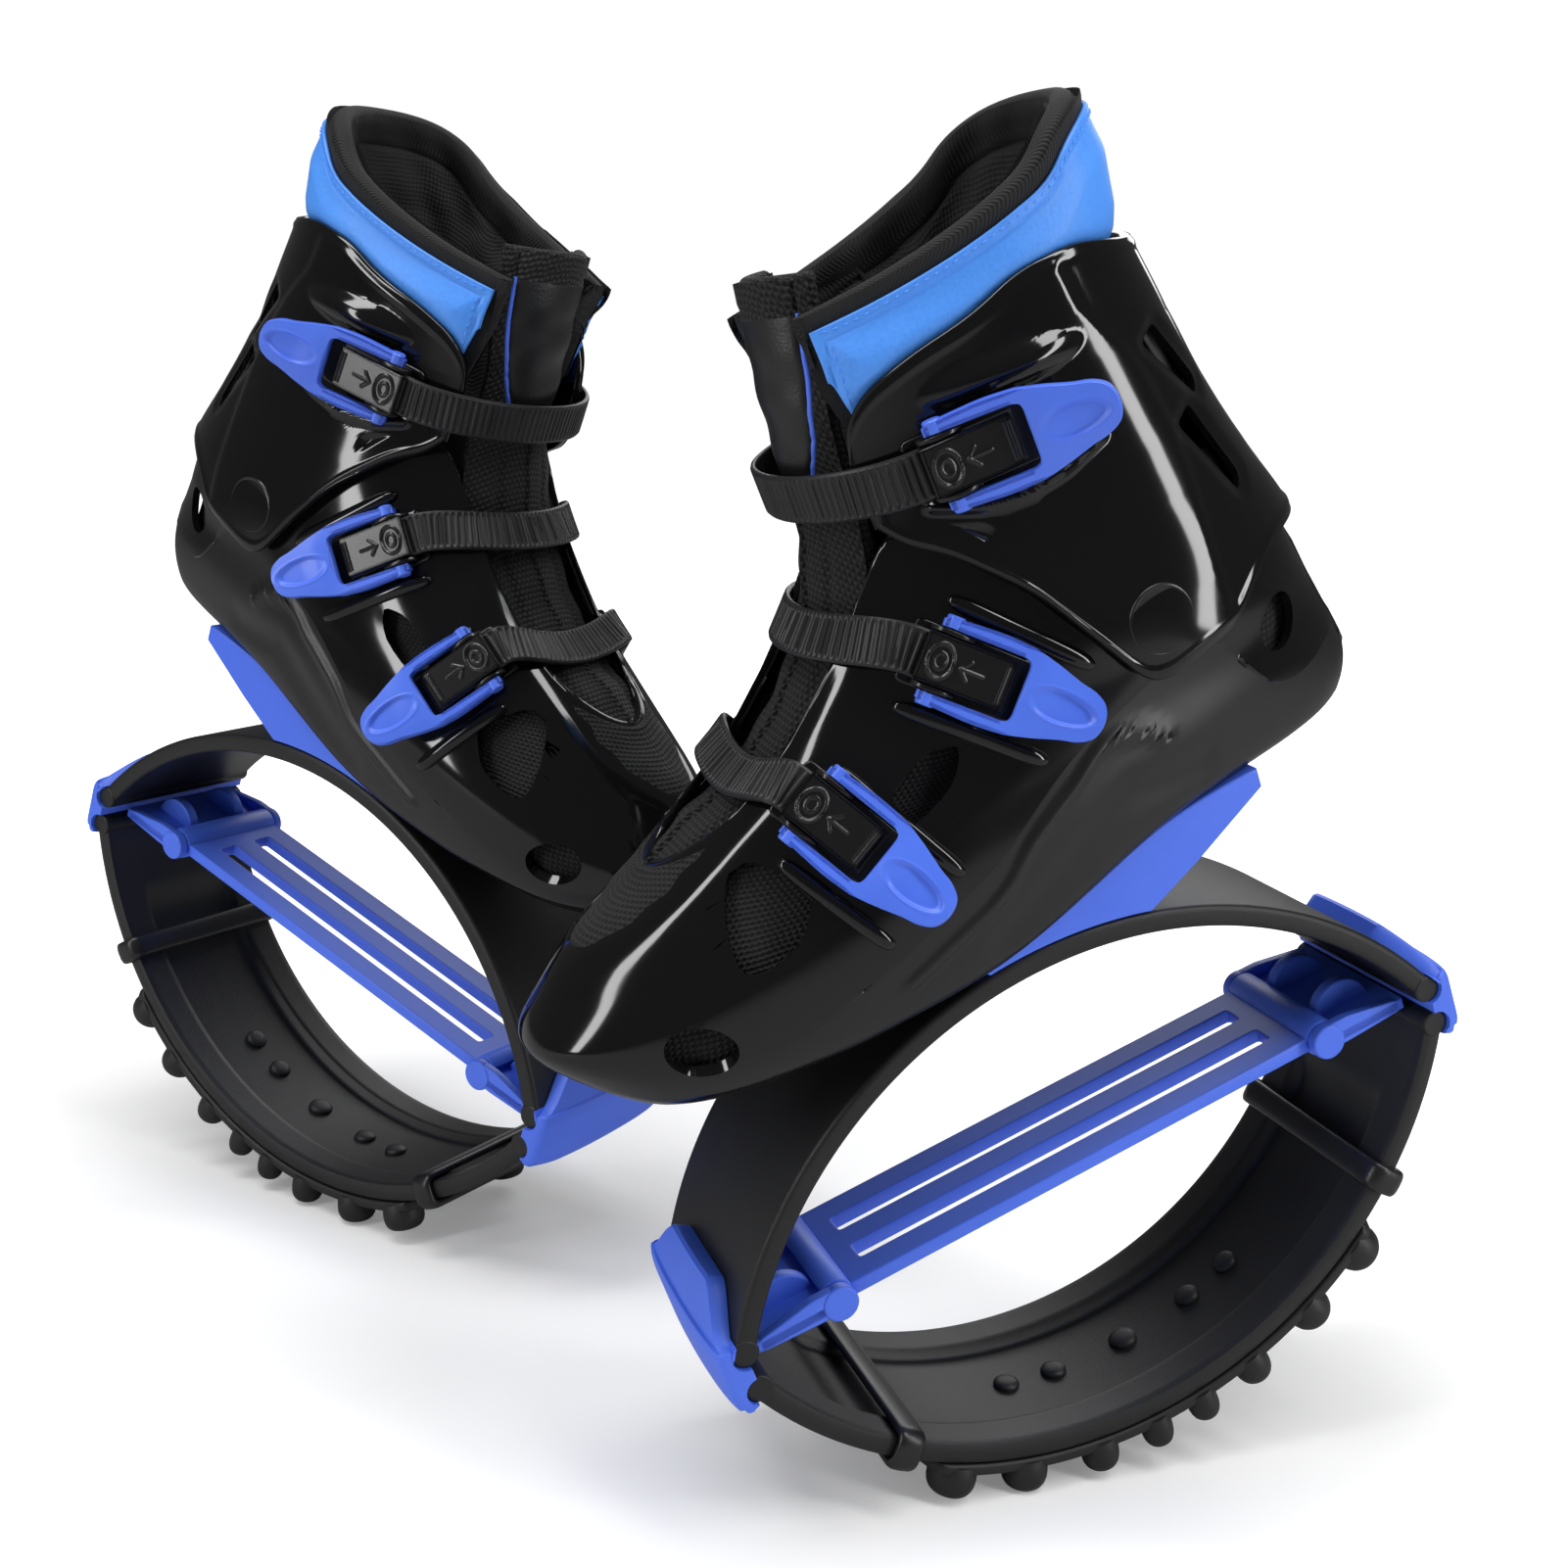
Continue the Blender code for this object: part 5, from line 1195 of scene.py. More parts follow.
def cuff_piece():
    """The hard cuff: a wall round the back and sides with rounded edges, its flat sides
    turning at a soft edge into the round back, a swelling and a ridge beside the buckle, a
    sunk facet, and slanting louvres through the back."""
    wall = 0.0035
    p = region(cuff_rows, cuff_base, cuff_height, 0.0051, soften(cuff_top),
               soften(cuff_bottom), 271, 121)
    n = grid_normals(p)
    p = p - n * (wall / 2)
    x, z = p[..., 0], p[..., 2]
    side = step(np.abs(p[..., 1]), 0.018, 0.030)
    lift = 0.0052 * side * np.sqrt(1 - step(np.hypot((x + 0.0465) / 0.0270,
                                                     (z - 0.2832) / 0.0076), 0.0, 1.0))
    ridge = ((-0.0135, 0.2510), (-0.0256, 0.2465), (-0.0414, 0.2450), (-0.0558, 0.2473),
             (-0.0690, 0.2525))
    lift = lift + 0.0026 * side * bell(distance(x, z, ridge), 0.0032)
    turn_line = np.array(((0.330, -0.0690), (0.3064, -0.0714), (0.2914, -0.0748),
                          (0.2751, -0.0856), (0.2633, -0.0905), (0.2437, -0.0945),
                          (0.2218, -0.0940), (0.1995, -0.0930), (0.1600, -0.0930)))[::-1]
    ahead = x - np.interp(z, turn_line[:, 0], turn_line[:, 1])
    lift = lift + 0.0012 * side * step(ahead, -0.0045, 0.0015) * (1 - step(ahead, 0.004, 0.05))
    facet = np.array(((-0.0150, 0.2450), (-0.0283, 0.2409), (-0.0269, 0.2312)))
    sunk = step(np.hypot(*nearest(x, z, facet)), 0, 0.003)
    lift = lift - 0.0013 * side * np.where(inside(x, z, facet), sunk, 0)
    rim = off_edges(p, p[:1], p[-1:], p[:, :1], p[:, -1:])
    lift = lift * step(rim, 0.001, 0.006) + 0.0005 * bell(rim - 0.0035, 0.0024)
    slots = [rounded(np.array(points), 0.0022, 5) for points in (
        ((-0.0955, 0.2720), (-0.1035, 0.2760), (-0.1165, 0.2530), (-0.1130, 0.2480)),
        ((-0.0990, 0.2440), (-0.1070, 0.2480), (-0.1180, 0.2200), (-0.1145, 0.2150)))]
    for slot in slots:
        near = np.where(inside(x, z, slot), 0, np.hypot(*nearest(x, z, slot)))
        lift = lift - 0.0012 * side * (1 - step(near, 0.0, 0.0045))
    return plate(Body(), p, wall, front=lift, openings=slots)


liner_rows = ((0.00, 0.118, 0.610, 0.730, 0.0), (0.26, 0.158, 0.532, 0.640, 0.0),
              (0.50, 0.172, 0.572, 0.690, 0.0), (0.66, 0.180, 0.578, 0.690, 0.0),
              (0.74, 0.168, 0.585, 0.718, 0.8), (1.00, 0.158, 0.590, 0.760, 1.0))
liner_base, liner_height, collar_twist = 0.188, 0.170, 0.008
collar_top = in_side_view(((0.00, 0.948), (0.02, 0.950), (0.185, 0.960), (0.232, 0.925),
                           (0.268, 0.870), (0.35, 0.815), (0.43, 0.780), (0.513, 0.755)),
                          liner_base, liner_height)
collar_bottom = np.array(((-0.170, 0.1972), (-0.0686, 0.1972), (-0.0443, 0.2020),
                          (-0.0405, 0.2356), (-0.0197, 0.2552), (-0.0039, 0.2700),
                          (0.0039, 0.3000)))
panel_top = in_side_view(((0.00, 0.915), (0.17, 0.925), (0.220, 0.890), (0.258, 0.830),
                          (0.35, 0.778), (0.43, 0.748), (0.508, 0.728)), liner_base,
                         liner_height)
panel_bottom = np.array(((-0.170, 0.2900), (-0.0656, 0.2900), (-0.0197, 0.2798),
                         (-0.0098, 0.2690), (-0.0045, 0.2725), (0.0010, 0.2960)))


def ankle_liner():
    """The padded collar: a thick wall whose rim is a full roll, swollen between the panel
    and the rim, with soft hollows round the inside."""
    wall = 0.0085
    p = region(liner_rows, liner_base, liner_height, 0.0030, soften(collar_top, 0.012),
               soften(collar_bottom, 0.006), 181, 97, twist=collar_twist, draw=wall / 2)
    x, y, z = p[..., 0], p[..., 1], p[..., 2]
    over = np.interp(x, panel_top[:, 0], panel_top[:, 1])
    rim = np.linalg.norm(p - p[-1:], axis=-1)
    roll = 0.0017 * bell(rim - 0.004, 0.009)
    wave = 0.0004 * np.sin(x * 260 + z * 90) * np.sin(y * 210 - z * 140)
    front = roll + step(z, over, over + 0.006) * (0.0005 + wave)
    seam = 0.0012 * bell(rim - 0.0145, 0.0020)
    back = roll - seam + 0.0016 * step(rim, 0.016, 0.03) + 2 * wave
    mark = 1 - step(rim, 0.012, 0.0135)
    return plate(Body(), p, wall, front=front - seam * 0.6, back=back, mark=mark, steps=7)


def stitches(body, line, ways):
    """A row of thread stitches along a line, in the body's second finish: each is a short
    capsule of five rings of six points that lies on the surface, its ends dipping in."""
    length, gap, radius = 0.0022, 0.0012, 0.00032
    run = run_along(line)
    at = np.arange(0.002, run[-1] - 0.002, length + gap)
    t = np.linspace(-0.5, 0.5, 5)
    where = at[:, None] + t * length

    def read(values):
        return np.stack([np.interp(where, run, values[:, k]) for k in range(3)], -1)

    centre, up = read(line), read(ways)
    side = np.cross(normed(np.gradient(centre, axis=1)), up)
    turn = circle_turns(6)
    dip = (1 - 4 * t ** 2) * radius * 1.6 - radius * 0.6
    full = radius * np.sqrt(np.clip(1 - (2 * t) ** 4, 0.02, 1))
    rings = (centre[:, :, None] + up[:, :, None] * dip[:, None, None]
             + full[:, None, None] * (side[:, :, None] * np.cos(turn)[:, None]
                                      + up[:, :, None] * np.sin(turn)[:, None]))
    count = len(at)
    start = body.take(rings, 0.0)
    k, i, j = np.meshgrid(np.arange(count), np.arange(4), np.arange(6), indexing="ij")
    a = start + (k * 5 + i) * 6
    faces = np.stack((a + j, a + (j + 1) % 6, a + 6 + (j + 1) % 6, a + 6 + j), -1)
    faces = faces.reshape(-1, 4)
    ends = [start + (np.arange(count)[:, None] * 5 + e) * 6 + np.array(q)
            for e in (0, 4) for q in ((0, 1, 2, 3), (0, 3, 4, 5))]
    faces = np.concatenate([faces] + ends)
    body.add_faces(faces, np.zeros((len(faces), 4, 2)), 1)
    return body


def collar_panel():
    """The leatherette panel: a thin sheet puffed out over the collar's padding above the
    cuff, flat at its stitched edges."""
    wall = 0.0020
    p = region(liner_rows, liner_base, liner_height, 0.0020, soften(panel_top, 0.012),
               soften(panel_bottom, 0.005), 201, 81, twist=collar_twist, draw=-0.0022)
    x, y, z = p[..., 0], p[..., 1], p[..., 2]
    rim = off_edges(p, p[-1:], p[:, :1], p[:, -1:])
    cover = np.interp(x, cuff_top[:, 0], cuff_top[:, 1])
    free = step(z, cover - 0.006, cover + 0.004)
    puff = 0.0026 * free * step(rim, 0.0035, 0.016)
    puff = puff - 0.0005 * bell(rim - 0.0042, 0.0012) * free
    wrinkle = np.sin(z * 520 + x * 130) * bell(np.abs(y) - 0.012, 0.010) * step(-x, 0.075, 0.10)
    puff = puff + 0.0005 * wrinkle * free
    body = plate(Body(), p, wall, front=puff)
    n = grid_normals(p)
    skin = p + n * (wall / 2 + puff)[..., None]
    lowest_row, top_row = 12, 76
    stitches(body, skin[top_row, 3:-3], n[top_row, 3:-3])
    for col in (5, -6):
        stitches(body, skin[lowest_row:top_row, col], n[lowest_row:top_row, col])
    return body


def foot_liner():
    """Padding inside the shell, up to the ankle liner and round the instep opening."""
    wall, gap, highest, cols, samples, smooth = 0.0055, 0.0062, 0.1955, 200, 500, 4
    turn = 2 * pi * (np.arange(cols) + 0.5) / cols
    draw = gap + wall / 2
    v = np.linspace(2.5, len(line_forms) - 1, samples)
    tried = boot_surface(turn[None], v[:, None], draw)
    f = np.maximum(tried[..., 2] - highest, beyond_rim(tried, 0.0015))
    top = v[np.where(f.max(0) > 0, np.argmax(f > 0, 0), samples - 1)]
    weights = np.hanning(2 * smooth + 1)
    top = np.convolve(np.r_[top[-smooth:], top, top[:smooth]], weights / weights.sum(),
                      mode="valid")
    p = boot_surface(turn, 0.9 + (top - 0.9) * np.linspace(0, 1, 60)[:, None], draw)
    p[..., 2] = np.maximum(p[..., 2], sole_height(p[..., 0]) + 0.0125)
    wave = 0.0004 * np.sin(p[..., 0] * 300) * np.sin(p[..., 2] * 260 + p[..., 1] * 90)
    return plate(Body(), p, wall, wrap=True, front=wave, back=0.001 + wave)


def insole_pad():
    """The foot bed: its plan is the liner's floor, cupped up round the heel and crowned
    under the arch."""
    turn = np.linspace(0, pi, 200)
    ring = boot_surface(turn, 1.0, 0.0135)
    order = np.argsort(ring[:, 0])
    x = np.linspace(ring[:, 0].min() + 0.003, ring[:, 0].max() - 0.003, 90)
    middle = toe_shift(x)
    half = (np.interp(x, ring[order, 0], ring[order, 1]) - middle) * 0.93
    a = np.linspace(-1, 1, 33)
    y = middle[:, None] + half[:, None] * a
    z = sole_height(x)[:, None] + 0.0158 + 0.0012 * np.abs(a) ** 3 * step(-x, 0.0, 0.1)[:, None]
    p = facing(np.stack((np.broadcast_to(x[:, None], y.shape), y, z), -1), (0, 0, 1))
    return plate(Body(), p, 0.0038, front=0.0006 * np.cos(a * pi / 2))


tongue_rows = np.array((
    (0.826, 0.432, 1.02, 0.0), (0.796, 0.474, 1.16, 0.0), (0.759, 0.508, 1.28, 0.0),
    (0.719, 0.538, 1.34, 0.0), (0.676, 0.586, 1.36, 0.0), (0.638, 0.646, 1.36, 0.0),
    (0.604, 0.722, 1.34, 0.0), (0.574, 0.820, 1.28, 0.0), (0.554, 0.935, 1.14, 0.0),
    (0.545, 1.060, 1.00, 0.0), (0.542, 1.180, 0.94, 0.0), (0.536, 1.330, 1.00, 0.2),
    (0.520, 1.520, 1.10, 1.0)))


def cord(body, line, radius, finish):
    """A round cord along a line: circles in the plane across it, its ends closed."""
    along = normed(np.gradient(line, axis=0))
    up = normed(np.cross(along, (0.0, 1.0, 0.0)))
    side = np.cross(along, up)
    turn = circle_turns(10)
    rings = (line[:, None] + radius * (up[:, None] * np.cos(turn)[:, None]
                                       + side[:, None] * np.sin(turn)[:, None]))
    body.tube(rings, finish)
    return body


def tongue_piece():
    """The padded tongue: an arched sheet up the instep whose upper middle swells into a
    shield between two piped seams, with quilted channels below it, soft folds and a bound
    top."""
    rows, cols, wall, steps = 150, 61, 0.0062, 5
    v = np.linspace(0, len(tongue_rows) - 1, rows)
    form = catmull(tongue_rows, v)
    x, z = heel_x + form[:, 0] * boot_length, sole_level + form[:, 1] * boot_rise
    line = np.stack((x, z), -1)
    way = normed(np.gradient(line, axis=0))
    out = np.stack((way[:, 1], -way[:, 0]), -1)
    a = np.linspace(-1, 1, cols)
    share, aside = form[:, 2:3], form[:, 3:4]
    wrap = 0.0085 + 0.0045 * np.linspace(0, 1, rows)[:, None] ** 2
    depth = -0.004 - wrap * np.minimum(share, 1) ** 2 * a ** 2
    y = toe_shift(x)[:, None] - 0.006 * aside + a * 0.0215 * share
    p = np.stack((x[:, None] + out[:, :1] * depth, y, z[:, None] + out[:, 1:] * depth), -1)
    n = grid_normals(p)
    if n[rows // 2, cols // 2, 0] < 0:
        p = p[:, ::-1]
        n = grid_normals(p)
        a = a[::-1]
    run = run_along(line)[:, None]
    left = run[-1] - run
    shield_length, shield_half = 0.074, 0.80
    shield = shield_half * np.sqrt(np.clip(1 - (left / shield_length) ** 4, 0, 1))
    full = np.sqrt(np.clip(1 - (np.abs(a) / np.maximum(shield, 0.01)) ** 4, 0, 1))
    groove = -0.0009 * bell(np.abs(a) - shield, 0.05) * (shield > 0.05)
    lower = step(left, shield_length, shield_length + 0.02)
    channels = lower * (0.0012 * (1 - bell(np.abs(a) - 0.48, 0.12)) - 0.0004)
    top_seam = -0.0010 * bell(left - 0.011, 0.0018)
    folds = 0.0004 * np.sin(run * 330 + 2 * a) * step(left, 0.01, 0.03)
    front = 0.0016 * full + groove + top_seam + folds + channels
    body = Body()
    plate(body, p, wall, front=front, back=0.0006, steps=steps)
    skin = p + n * (wall / 2 + front)[..., None]
    down = np.linspace(0.012, shield_length, 120)
    row = np.interp(down, left[::-1, 0], np.arange(rows)[::-1])
    for side in (-1, 1):
        aside = side * shield_half * np.sqrt(1 - (down / shield_length) ** 4)
        col = np.interp(aside * np.sign(a[-1] - a[0]), a * np.sign(a[-1] - a[0]),
                        np.arange(cols))
        seam = read_grid(skin, row, col)
        cord(body, smooth_line(seam[::4], 150), 0.00105, finish=2)
    centre = (np.abs(a) < shield) & (left > 0.011)
    cells = centre[:-1, :-1] & centre[1:, 1:]
    kinds = body.finish[0].reshape(rows - 1 + 2 * steps, cols - 1 + 2 * steps)
    kinds[steps:-steps, steps:-steps][cells] = 1
    body.finish[0] = kinds.ravel()
    return body


class Place:
    """A buckle's own axes in the shoe: f along the strap, u across it, n away from the
    boot, and how far the closed lever is lifted."""

    def __init__(self, pivot, slope, turn, lean, lift, crest):
        slope, turn, lean, self.lift = (radians(a) for a in (slope, turn, lean, lift))
        self.f = Vector((cos(slope) * cos(turn), -sin(turn), sin(slope) * cos(turn)))
        n = Vector((0, 1, 0)) - self.f.y * self.f
        self.n = (Matrix.Rotation(lean, 3, self.f) @ n).normalized()
        self.u = self.n.cross(self.f)
        axes = Matrix((self.f, self.u, self.n)).transposed().to_4x4()
        self.matrix = Matrix.Translation(Vector(pivot)) @ axes
        self.crest = np.array((crest[0], 0, crest[1]))

    def at(self, f, u, n):
        return np.array(self.matrix @ Vector((f, u, n)))


buckles = {"top": Place((-0.0200, 0.0475, 0.2630), -3, 11, 4, 14, (0.0210, 0.2635)),
           "mid": Place((0.0010, 0.0456, 0.2055), 43, 16, 3, 8, (0.0295, 0.2205)),
           "front": Place((0.0530, 0.0402, 0.1765), 62, 26, -2, 7, (0.0655, 0.1840))}
mirror = Matrix.Diagonal((1, -1, 1, 1))
strap_level, strap_thick, pin_height = 0.0035, 0.0018, 0.0050
strap_width, rib_pitch = 0.016, 0.0026


def strap_piece(name):
    """A ladder strap: straight through its buckle, half a third-degree curve up to the
    crest and its mirror image down the other side, with cross ribs between plain borders."""
    b = buckles[name]
    start = b.at(0.0085, 0, strap_level)
    pull = np.linalg.norm(b.crest - start)
    first = start + np.array(b.f) * pull * 0.22
    second = b.crest + np.array((0, pull * 0.52, 0))
    t = np.linspace(0, 1, 60)[:, None]
    half = (start * (1 - t) ** 3 + first * 3 * t * (1 - t) ** 2
            + second * 3 * t ** 2 * (1 - t) + b.crest * t ** 3)
    half = np.vstack((b.at(-0.024, 0, strap_level)[None], half))
    line = even_line(np.vstack((half, (half * (1, -1, 1))[-2::-1])), 501)
    blend = np.linspace(0, 1, len(line))[:, None]
    u = np.array(b.u)
    side = normed(u * (1, 0, 1))
    low = u + (side - u) * np.clip(2 * blend, 0, 1)
    high = side + (u * (1, -1, 1) - side) * np.clip(2 * blend - 1, 0, 1)
    across = np.where(blend < 0.5, low, high)
    along = normed(np.gradient(line, axis=0))
    across = normed(across - (across * along).sum(1, keepdims=True) * along)
    a = np.linspace(-0.5, 0.5, 19)
    p = line[:, None] + across[:, None] * (a[:, None] * strap_width)
    n = grid_normals(p)
    away = line - (widest_x, 0, 0)
    away[:, 2] = 0
    if (n[:, len(a) // 2] * away).sum() < 0:
        p = p[:, ::-1]
    run = np.linspace(0, run_along(line)[-1], len(line))
    rib = np.clip(np.sin(run * 2 * pi / rib_pitch) * 2.2, -1, 1)[:, None]
    inner_part = step(0.5 - np.abs(a), 0.085, 0.115)
    border = 0.00025 * bell(np.abs(a) - 0.44, 0.05)
    relief = 0.00030 * (rib * inner_part) + border
    away_from_stud = step(np.abs(run[-1] - run - 0.024), 0.0055, 0.0075)[:, None]
    return plate(Body(), p, strap_thick, radius=0.0006, front=relief * away_from_stud, steps=2)


def turned_profile(body, profile, sides=32):
    """A profile of radii and heights turned round the third axis."""
    profile = np.asarray(profile, float)
    turn = circle_turns(sides)
    rings = np.stack((profile[:, :1] * np.cos(turn), profile[:, :1] * np.sin(turn),
                      np.broadcast_to(profile[:, 1:], (len(profile), sides))), -1)
    body.tube(rings)
    return body


def outward(place, side):
    """Moves a turned profile to a place, its axis towards the outer or inner side."""
    return Matrix.Translation(place) @ Matrix.Rotation(-side * pi / 2, 4, "X")


def stud(name):
    """The moulded stud on the inner side that the strap's end is pressed over."""
    top = strap_level + strap_thick / 2 + 0.0003
    profile = [(0.0022, -0.0015), (0.0022, top), (0.0046, top), (0.0051, top + 0.0004),
               (0.0052, top + 0.0008), (0.0049, top + 0.0014), (0.0042, top + 0.0019),
               (0.0030, top + 0.0021), (0.0026, top + 0.0015), (0.0012, top + 0.0013)]
    body = turned_profile(Body(), profile)
    return body.turned(mirror @ buckles[name].matrix)


def seats(body, name):
    """Flat raised seats for the buckle and for the strap's end opposite."""
    outline = rounded(oblong(-0.030, 0.011, -0.0109, 0.0109), 0.003, 5)
    for matrix in (buckles[name].matrix, mirror @ buckles[name].matrix):
        seat = slab(Body(), [outline], -0.0048, 0.0, PLAN, 0.0010)
        body.add(seat.turned(matrix))
    return body


def buckle_base(name):
    """Base plate with two rounded cheeks, the pin's ends and a stepped tail."""
    body = Body()
    plan = rounded(np.array(((-0.032, -0.0098), (-0.028, -0.0101), (0.0060, -0.0101),
                             (0.0060, 0.0101), (-0.028, 0.0101), (-0.032, 0.0098))), 0.003, 6)
    slab(body, [plan], 0.0003, 0.0021, PLAN, 0.0005)
    cheek = rounded(np.array(((-0.0085, 0.0010), (0.0060, 0.0010), (0.0068, 0.0040),
                              (0.0030, 0.0082), (-0.0040, 0.0082), (-0.0085, 0.0050))),
                    0.0026, 6)
    for side in (-1, 1):
        low, high = sorted((side * 0.0084, side * 0.0101))
        slab(body, [cheek], low, high, SIDE, 0.0004)
        pin = turned_profile(Body(), [(0.0017, 0.0), (0.0017, 0.0040), (0.0014, 0.0046)], 20)
        body.add(pin.turned(outward((0, side * 0.0088, pin_height), side)))
    return body.turned(buckles[name].matrix)


def lever_piece(name):
    """The lever: a fork whose arms run into a broad thumb pad. The grid runs from the
    slot's edge to the outer edge, and along the outline from one nose round the tip to the
    other; the pad is crowned, with an oval thumb hollow."""
    arm = np.array(((0.0036, 0.0130), (-0.0004, 0.0140), (-0.0080, 0.0146),
                    (-0.0170, 0.0149), (-0.0265, 0.0143)))
    tip = np.array(((-0.0265, 0.0143), (-0.0350, 0.0121), (-0.0430, 0.0096),
                    (-0.0487, 0.0082), (-0.0530, 0.0053), (-0.0545, 0.0)))
    tip = np.vstack((tip, (tip * (1, -1))[-2::-1]))
    outer_arm, outer_tip = smooth_line(arm, 40), smooth_line(tip, 110)
    slot = np.array(((-0.0240, 0.0105), (-0.0262, 0.0098), (-0.0268, 0.0080),
                     (-0.0268, -0.0080), (-0.0262, -0.0098), (-0.0240, -0.0105)))
    inner_arm = even_line(np.array(((0.0036, 0.0105), (-0.0240, 0.0105))), 40)
    inner_tip = even_line(rounded(slot, 0.002, 5, closed=False), 110)
    outer = np.vstack((outer_arm, outer_tip[1:-1], (outer_arm * (1, -1))[::-1]))
    inner = np.vstack((inner_arm, inner_tip[1:-1], (inner_arm * (1, -1))[::-1]))
    t = np.linspace(0, 1, 37)[:, None, None]
    flat = inner * (1 - t) + outer * t
    p = facing(np.concatenate((flat, np.zeros(flat.shape[:2] + (1,))), -1), (0, 0, 1))
    f, u = p[..., 0], p[..., 1]
    pad = step(-f, 0.024, 0.034)
    crown = 0.0010 * pad * (1 - np.clip(np.abs(u) / 0.0135, 0, 1) ** 2)
    r = np.hypot((f + 0.0405) / 0.0112, u / (0.0052 + 0.05 * (f + 0.0405)))
    hollow = -0.0014 * (1 - step(r, 0.80, 1.0)) * (0.35 + 0.65 * step(-f, 0.030, 0.0415))
    hollow = hollow + 0.0002 * bell(r - 1.06, 0.10)
    back = -0.0012 * pad * (1 - np.clip(r * 0.8, 0, 1))
    body = plate(Body(), p, 0.0052, radius=0.0013, front=crown + hollow, back=back, steps=4)
    for side in (-1, 1):
        boss = turned_profile(Body(), [(0.0030, 0.0), (0.0030, 0.0036), (0.0026, 0.0040)], 24)
        body.add(boss.turned(outward((0, side * 0.0107, 0), side)))
    place = buckles[name]
    return body.turned(place.matrix @ Matrix.Translation((0, 0, pin_height))
                       @ Matrix.Rotation(place.lift, 4, "Y"))


def tab_piece(name):
    """The press tab: a rounded black plate with a raised oval ring at its strap end, a
    small arrow behind it and fine ribs at the tail."""
    f, u = np.meshgrid(np.linspace(-0.0220, 0.0070, 99), np.linspace(-0.0080, 0.0080, 55),
                       indexing="ij")
    p = facing(np.stack((f, u, np.full(f.shape, 0.0078)), -1), (0, 0, 1))
    f, u = p[..., 0], p[..., 1]
    r = np.hypot((f - 0.0008) / 0.0043, u / 0.0056)
    lift = 0.0005 * bell(r - 1, 0.13) + 0.0004 * bell(r - 0.45, 0.16)
    lift = lift - 0.0003 * (1 - step(r, 0.80, 0.95))
    arrow = ((-0.0135, 0.0), (-0.0060, 0.0)), ((-0.0088, 0.0030), (-0.0060, 0.0),
                                               (-0.0088, -0.0030))
    for line in arrow:
        lift = lift + 0.0004 * bell(distance(f, u, line), 0.0008)
    ribs = 0.0003 * np.clip(np.sin((f + 0.022) * 2 * pi / 0.0011), 0, 1)
    lift = lift + ribs * (f < -0.0192) * (np.abs(u) < 0.0062)
    body = plate(Body(), p, 0.0028, radius=0.0010, front=lift, steps=3)
    return body.turned(buckles[name].matrix)


def ankle_disc(side):
    """Flat disc, nearly flush, with a fine raised ring round its edge."""
    profile = [(0.0045, -0.0030), (0.0112, -0.0022), (0.0117, -0.0012), (0.0117, 0.0006),
               (0.0115, 0.0009), (0.0111, 0.0010), (0.0108, 0.0008), (0.0105, 0.0006),
               (0.0100, 0.0006), (0.0060, 0.0007), (0.0020, 0.0007)]
    return turned_profile(Body(), profile, 48).turned(
        outward((-0.0686, side * 0.0609, 0.1922), side))


def leaf_sweep(body, place, section, angles):
    """A closed section of places across and heights off the leaf's middle, the same or one
    for each angle, carried along the leaf's arc."""
    at = place(angles[:, None], section[..., 1])
    y = np.broadcast_to(section[..., 0], at.shape[:-1])
    rings = np.stack((at[..., 0], y, at[..., 1]), -1)
    body.tube(rings)
    return body


def end_beads(body, level):
    """The beads along a leaf's two ends, which the caps hold."""
    turn = circle_turns(24)
    for x in (-bead_x, bead_x):
        bead = np.stack((x + bead_radius * np.cos(turn), level + bead_radius * np.sin(turn)), -1)
        slab(body, [bead], -bead_half, bead_half, SIDE, 0.0007)
    return body


def upper_place(angle, off):
    """A place on the upper leaf, by its angle from straight up."""
    angle = np.asarray(angle, float)
    r = upper_radius + off
    return np.stack((r * np.sin(angle), upper_centre + r * np.cos(angle)), -1)


def upper_leaf():
    """The upper leaf: a rounded flat section along its arc, with a bead along each end."""
    section = rounded(oblong(-leaf_half, leaf_half, -leaf_skin, leaf_skin), 0.0024, 6)
    end = asin(bead_x / upper_radius)
    body = leaf_sweep(Body(), upper_place, section, np.linspace(-end, end, 161))
    return end_beads(body, bead_z)


def lower_leaf():
    """The lower leaf: raised borders beside a long channel on its inner face, which runs
    out towards both ends, and a bead along each end."""
    end = asin(bead_x / lower_radius)
    angles = np.linspace(-end, end, 181)
    y = np.linspace(-0.0385, 0.0385, 61)
    top = np.column_stack((y, np.full(len(y), -0.004)))
    section = np.vstack((np.array(((-0.041, 0.0016), (-0.0403, 0.0035), (-0.0386, 0.004))),
                         np.column_stack((np.linspace(-0.034, 0.034, 9), np.full(9, 0.004))),
                         np.array(((0.0386, 0.004), (0.0403, 0.0035), (0.041, 0.0016),
                                   (0.041, -0.0016), (0.0403, -0.0035))), top[::-1],
                         np.array(((-0.0403, -0.0035), (-0.041, -0.0016)))))
    fade = 1 - step(np.abs(angles), radians(47), radians(54))
    wall = 1 - step(np.abs(section[:, 0]), 0.0235, 0.0262)
    depth = 0.0042 * fade[:, None] * (wall * (section[:, 1] < -0.0039))
    sections = np.repeat(section[None], len(angles), 0)
    sections[..., 1] += depth
    return end_beads(leaf_sweep(Body(), lower_place, sections, angles), -bead_z)


def on_lower_leaf(angle, off, aside=0.0, turn=pi):
    """Moves a piece to a place on the lower leaf, its third axis outward, or inward for a
    turn of 0."""
    x, z = lower_place(angle, off)
    return Matrix.Translation((x, aside, z)) @ Matrix.Rotation(turn - angle, 4, "Y")


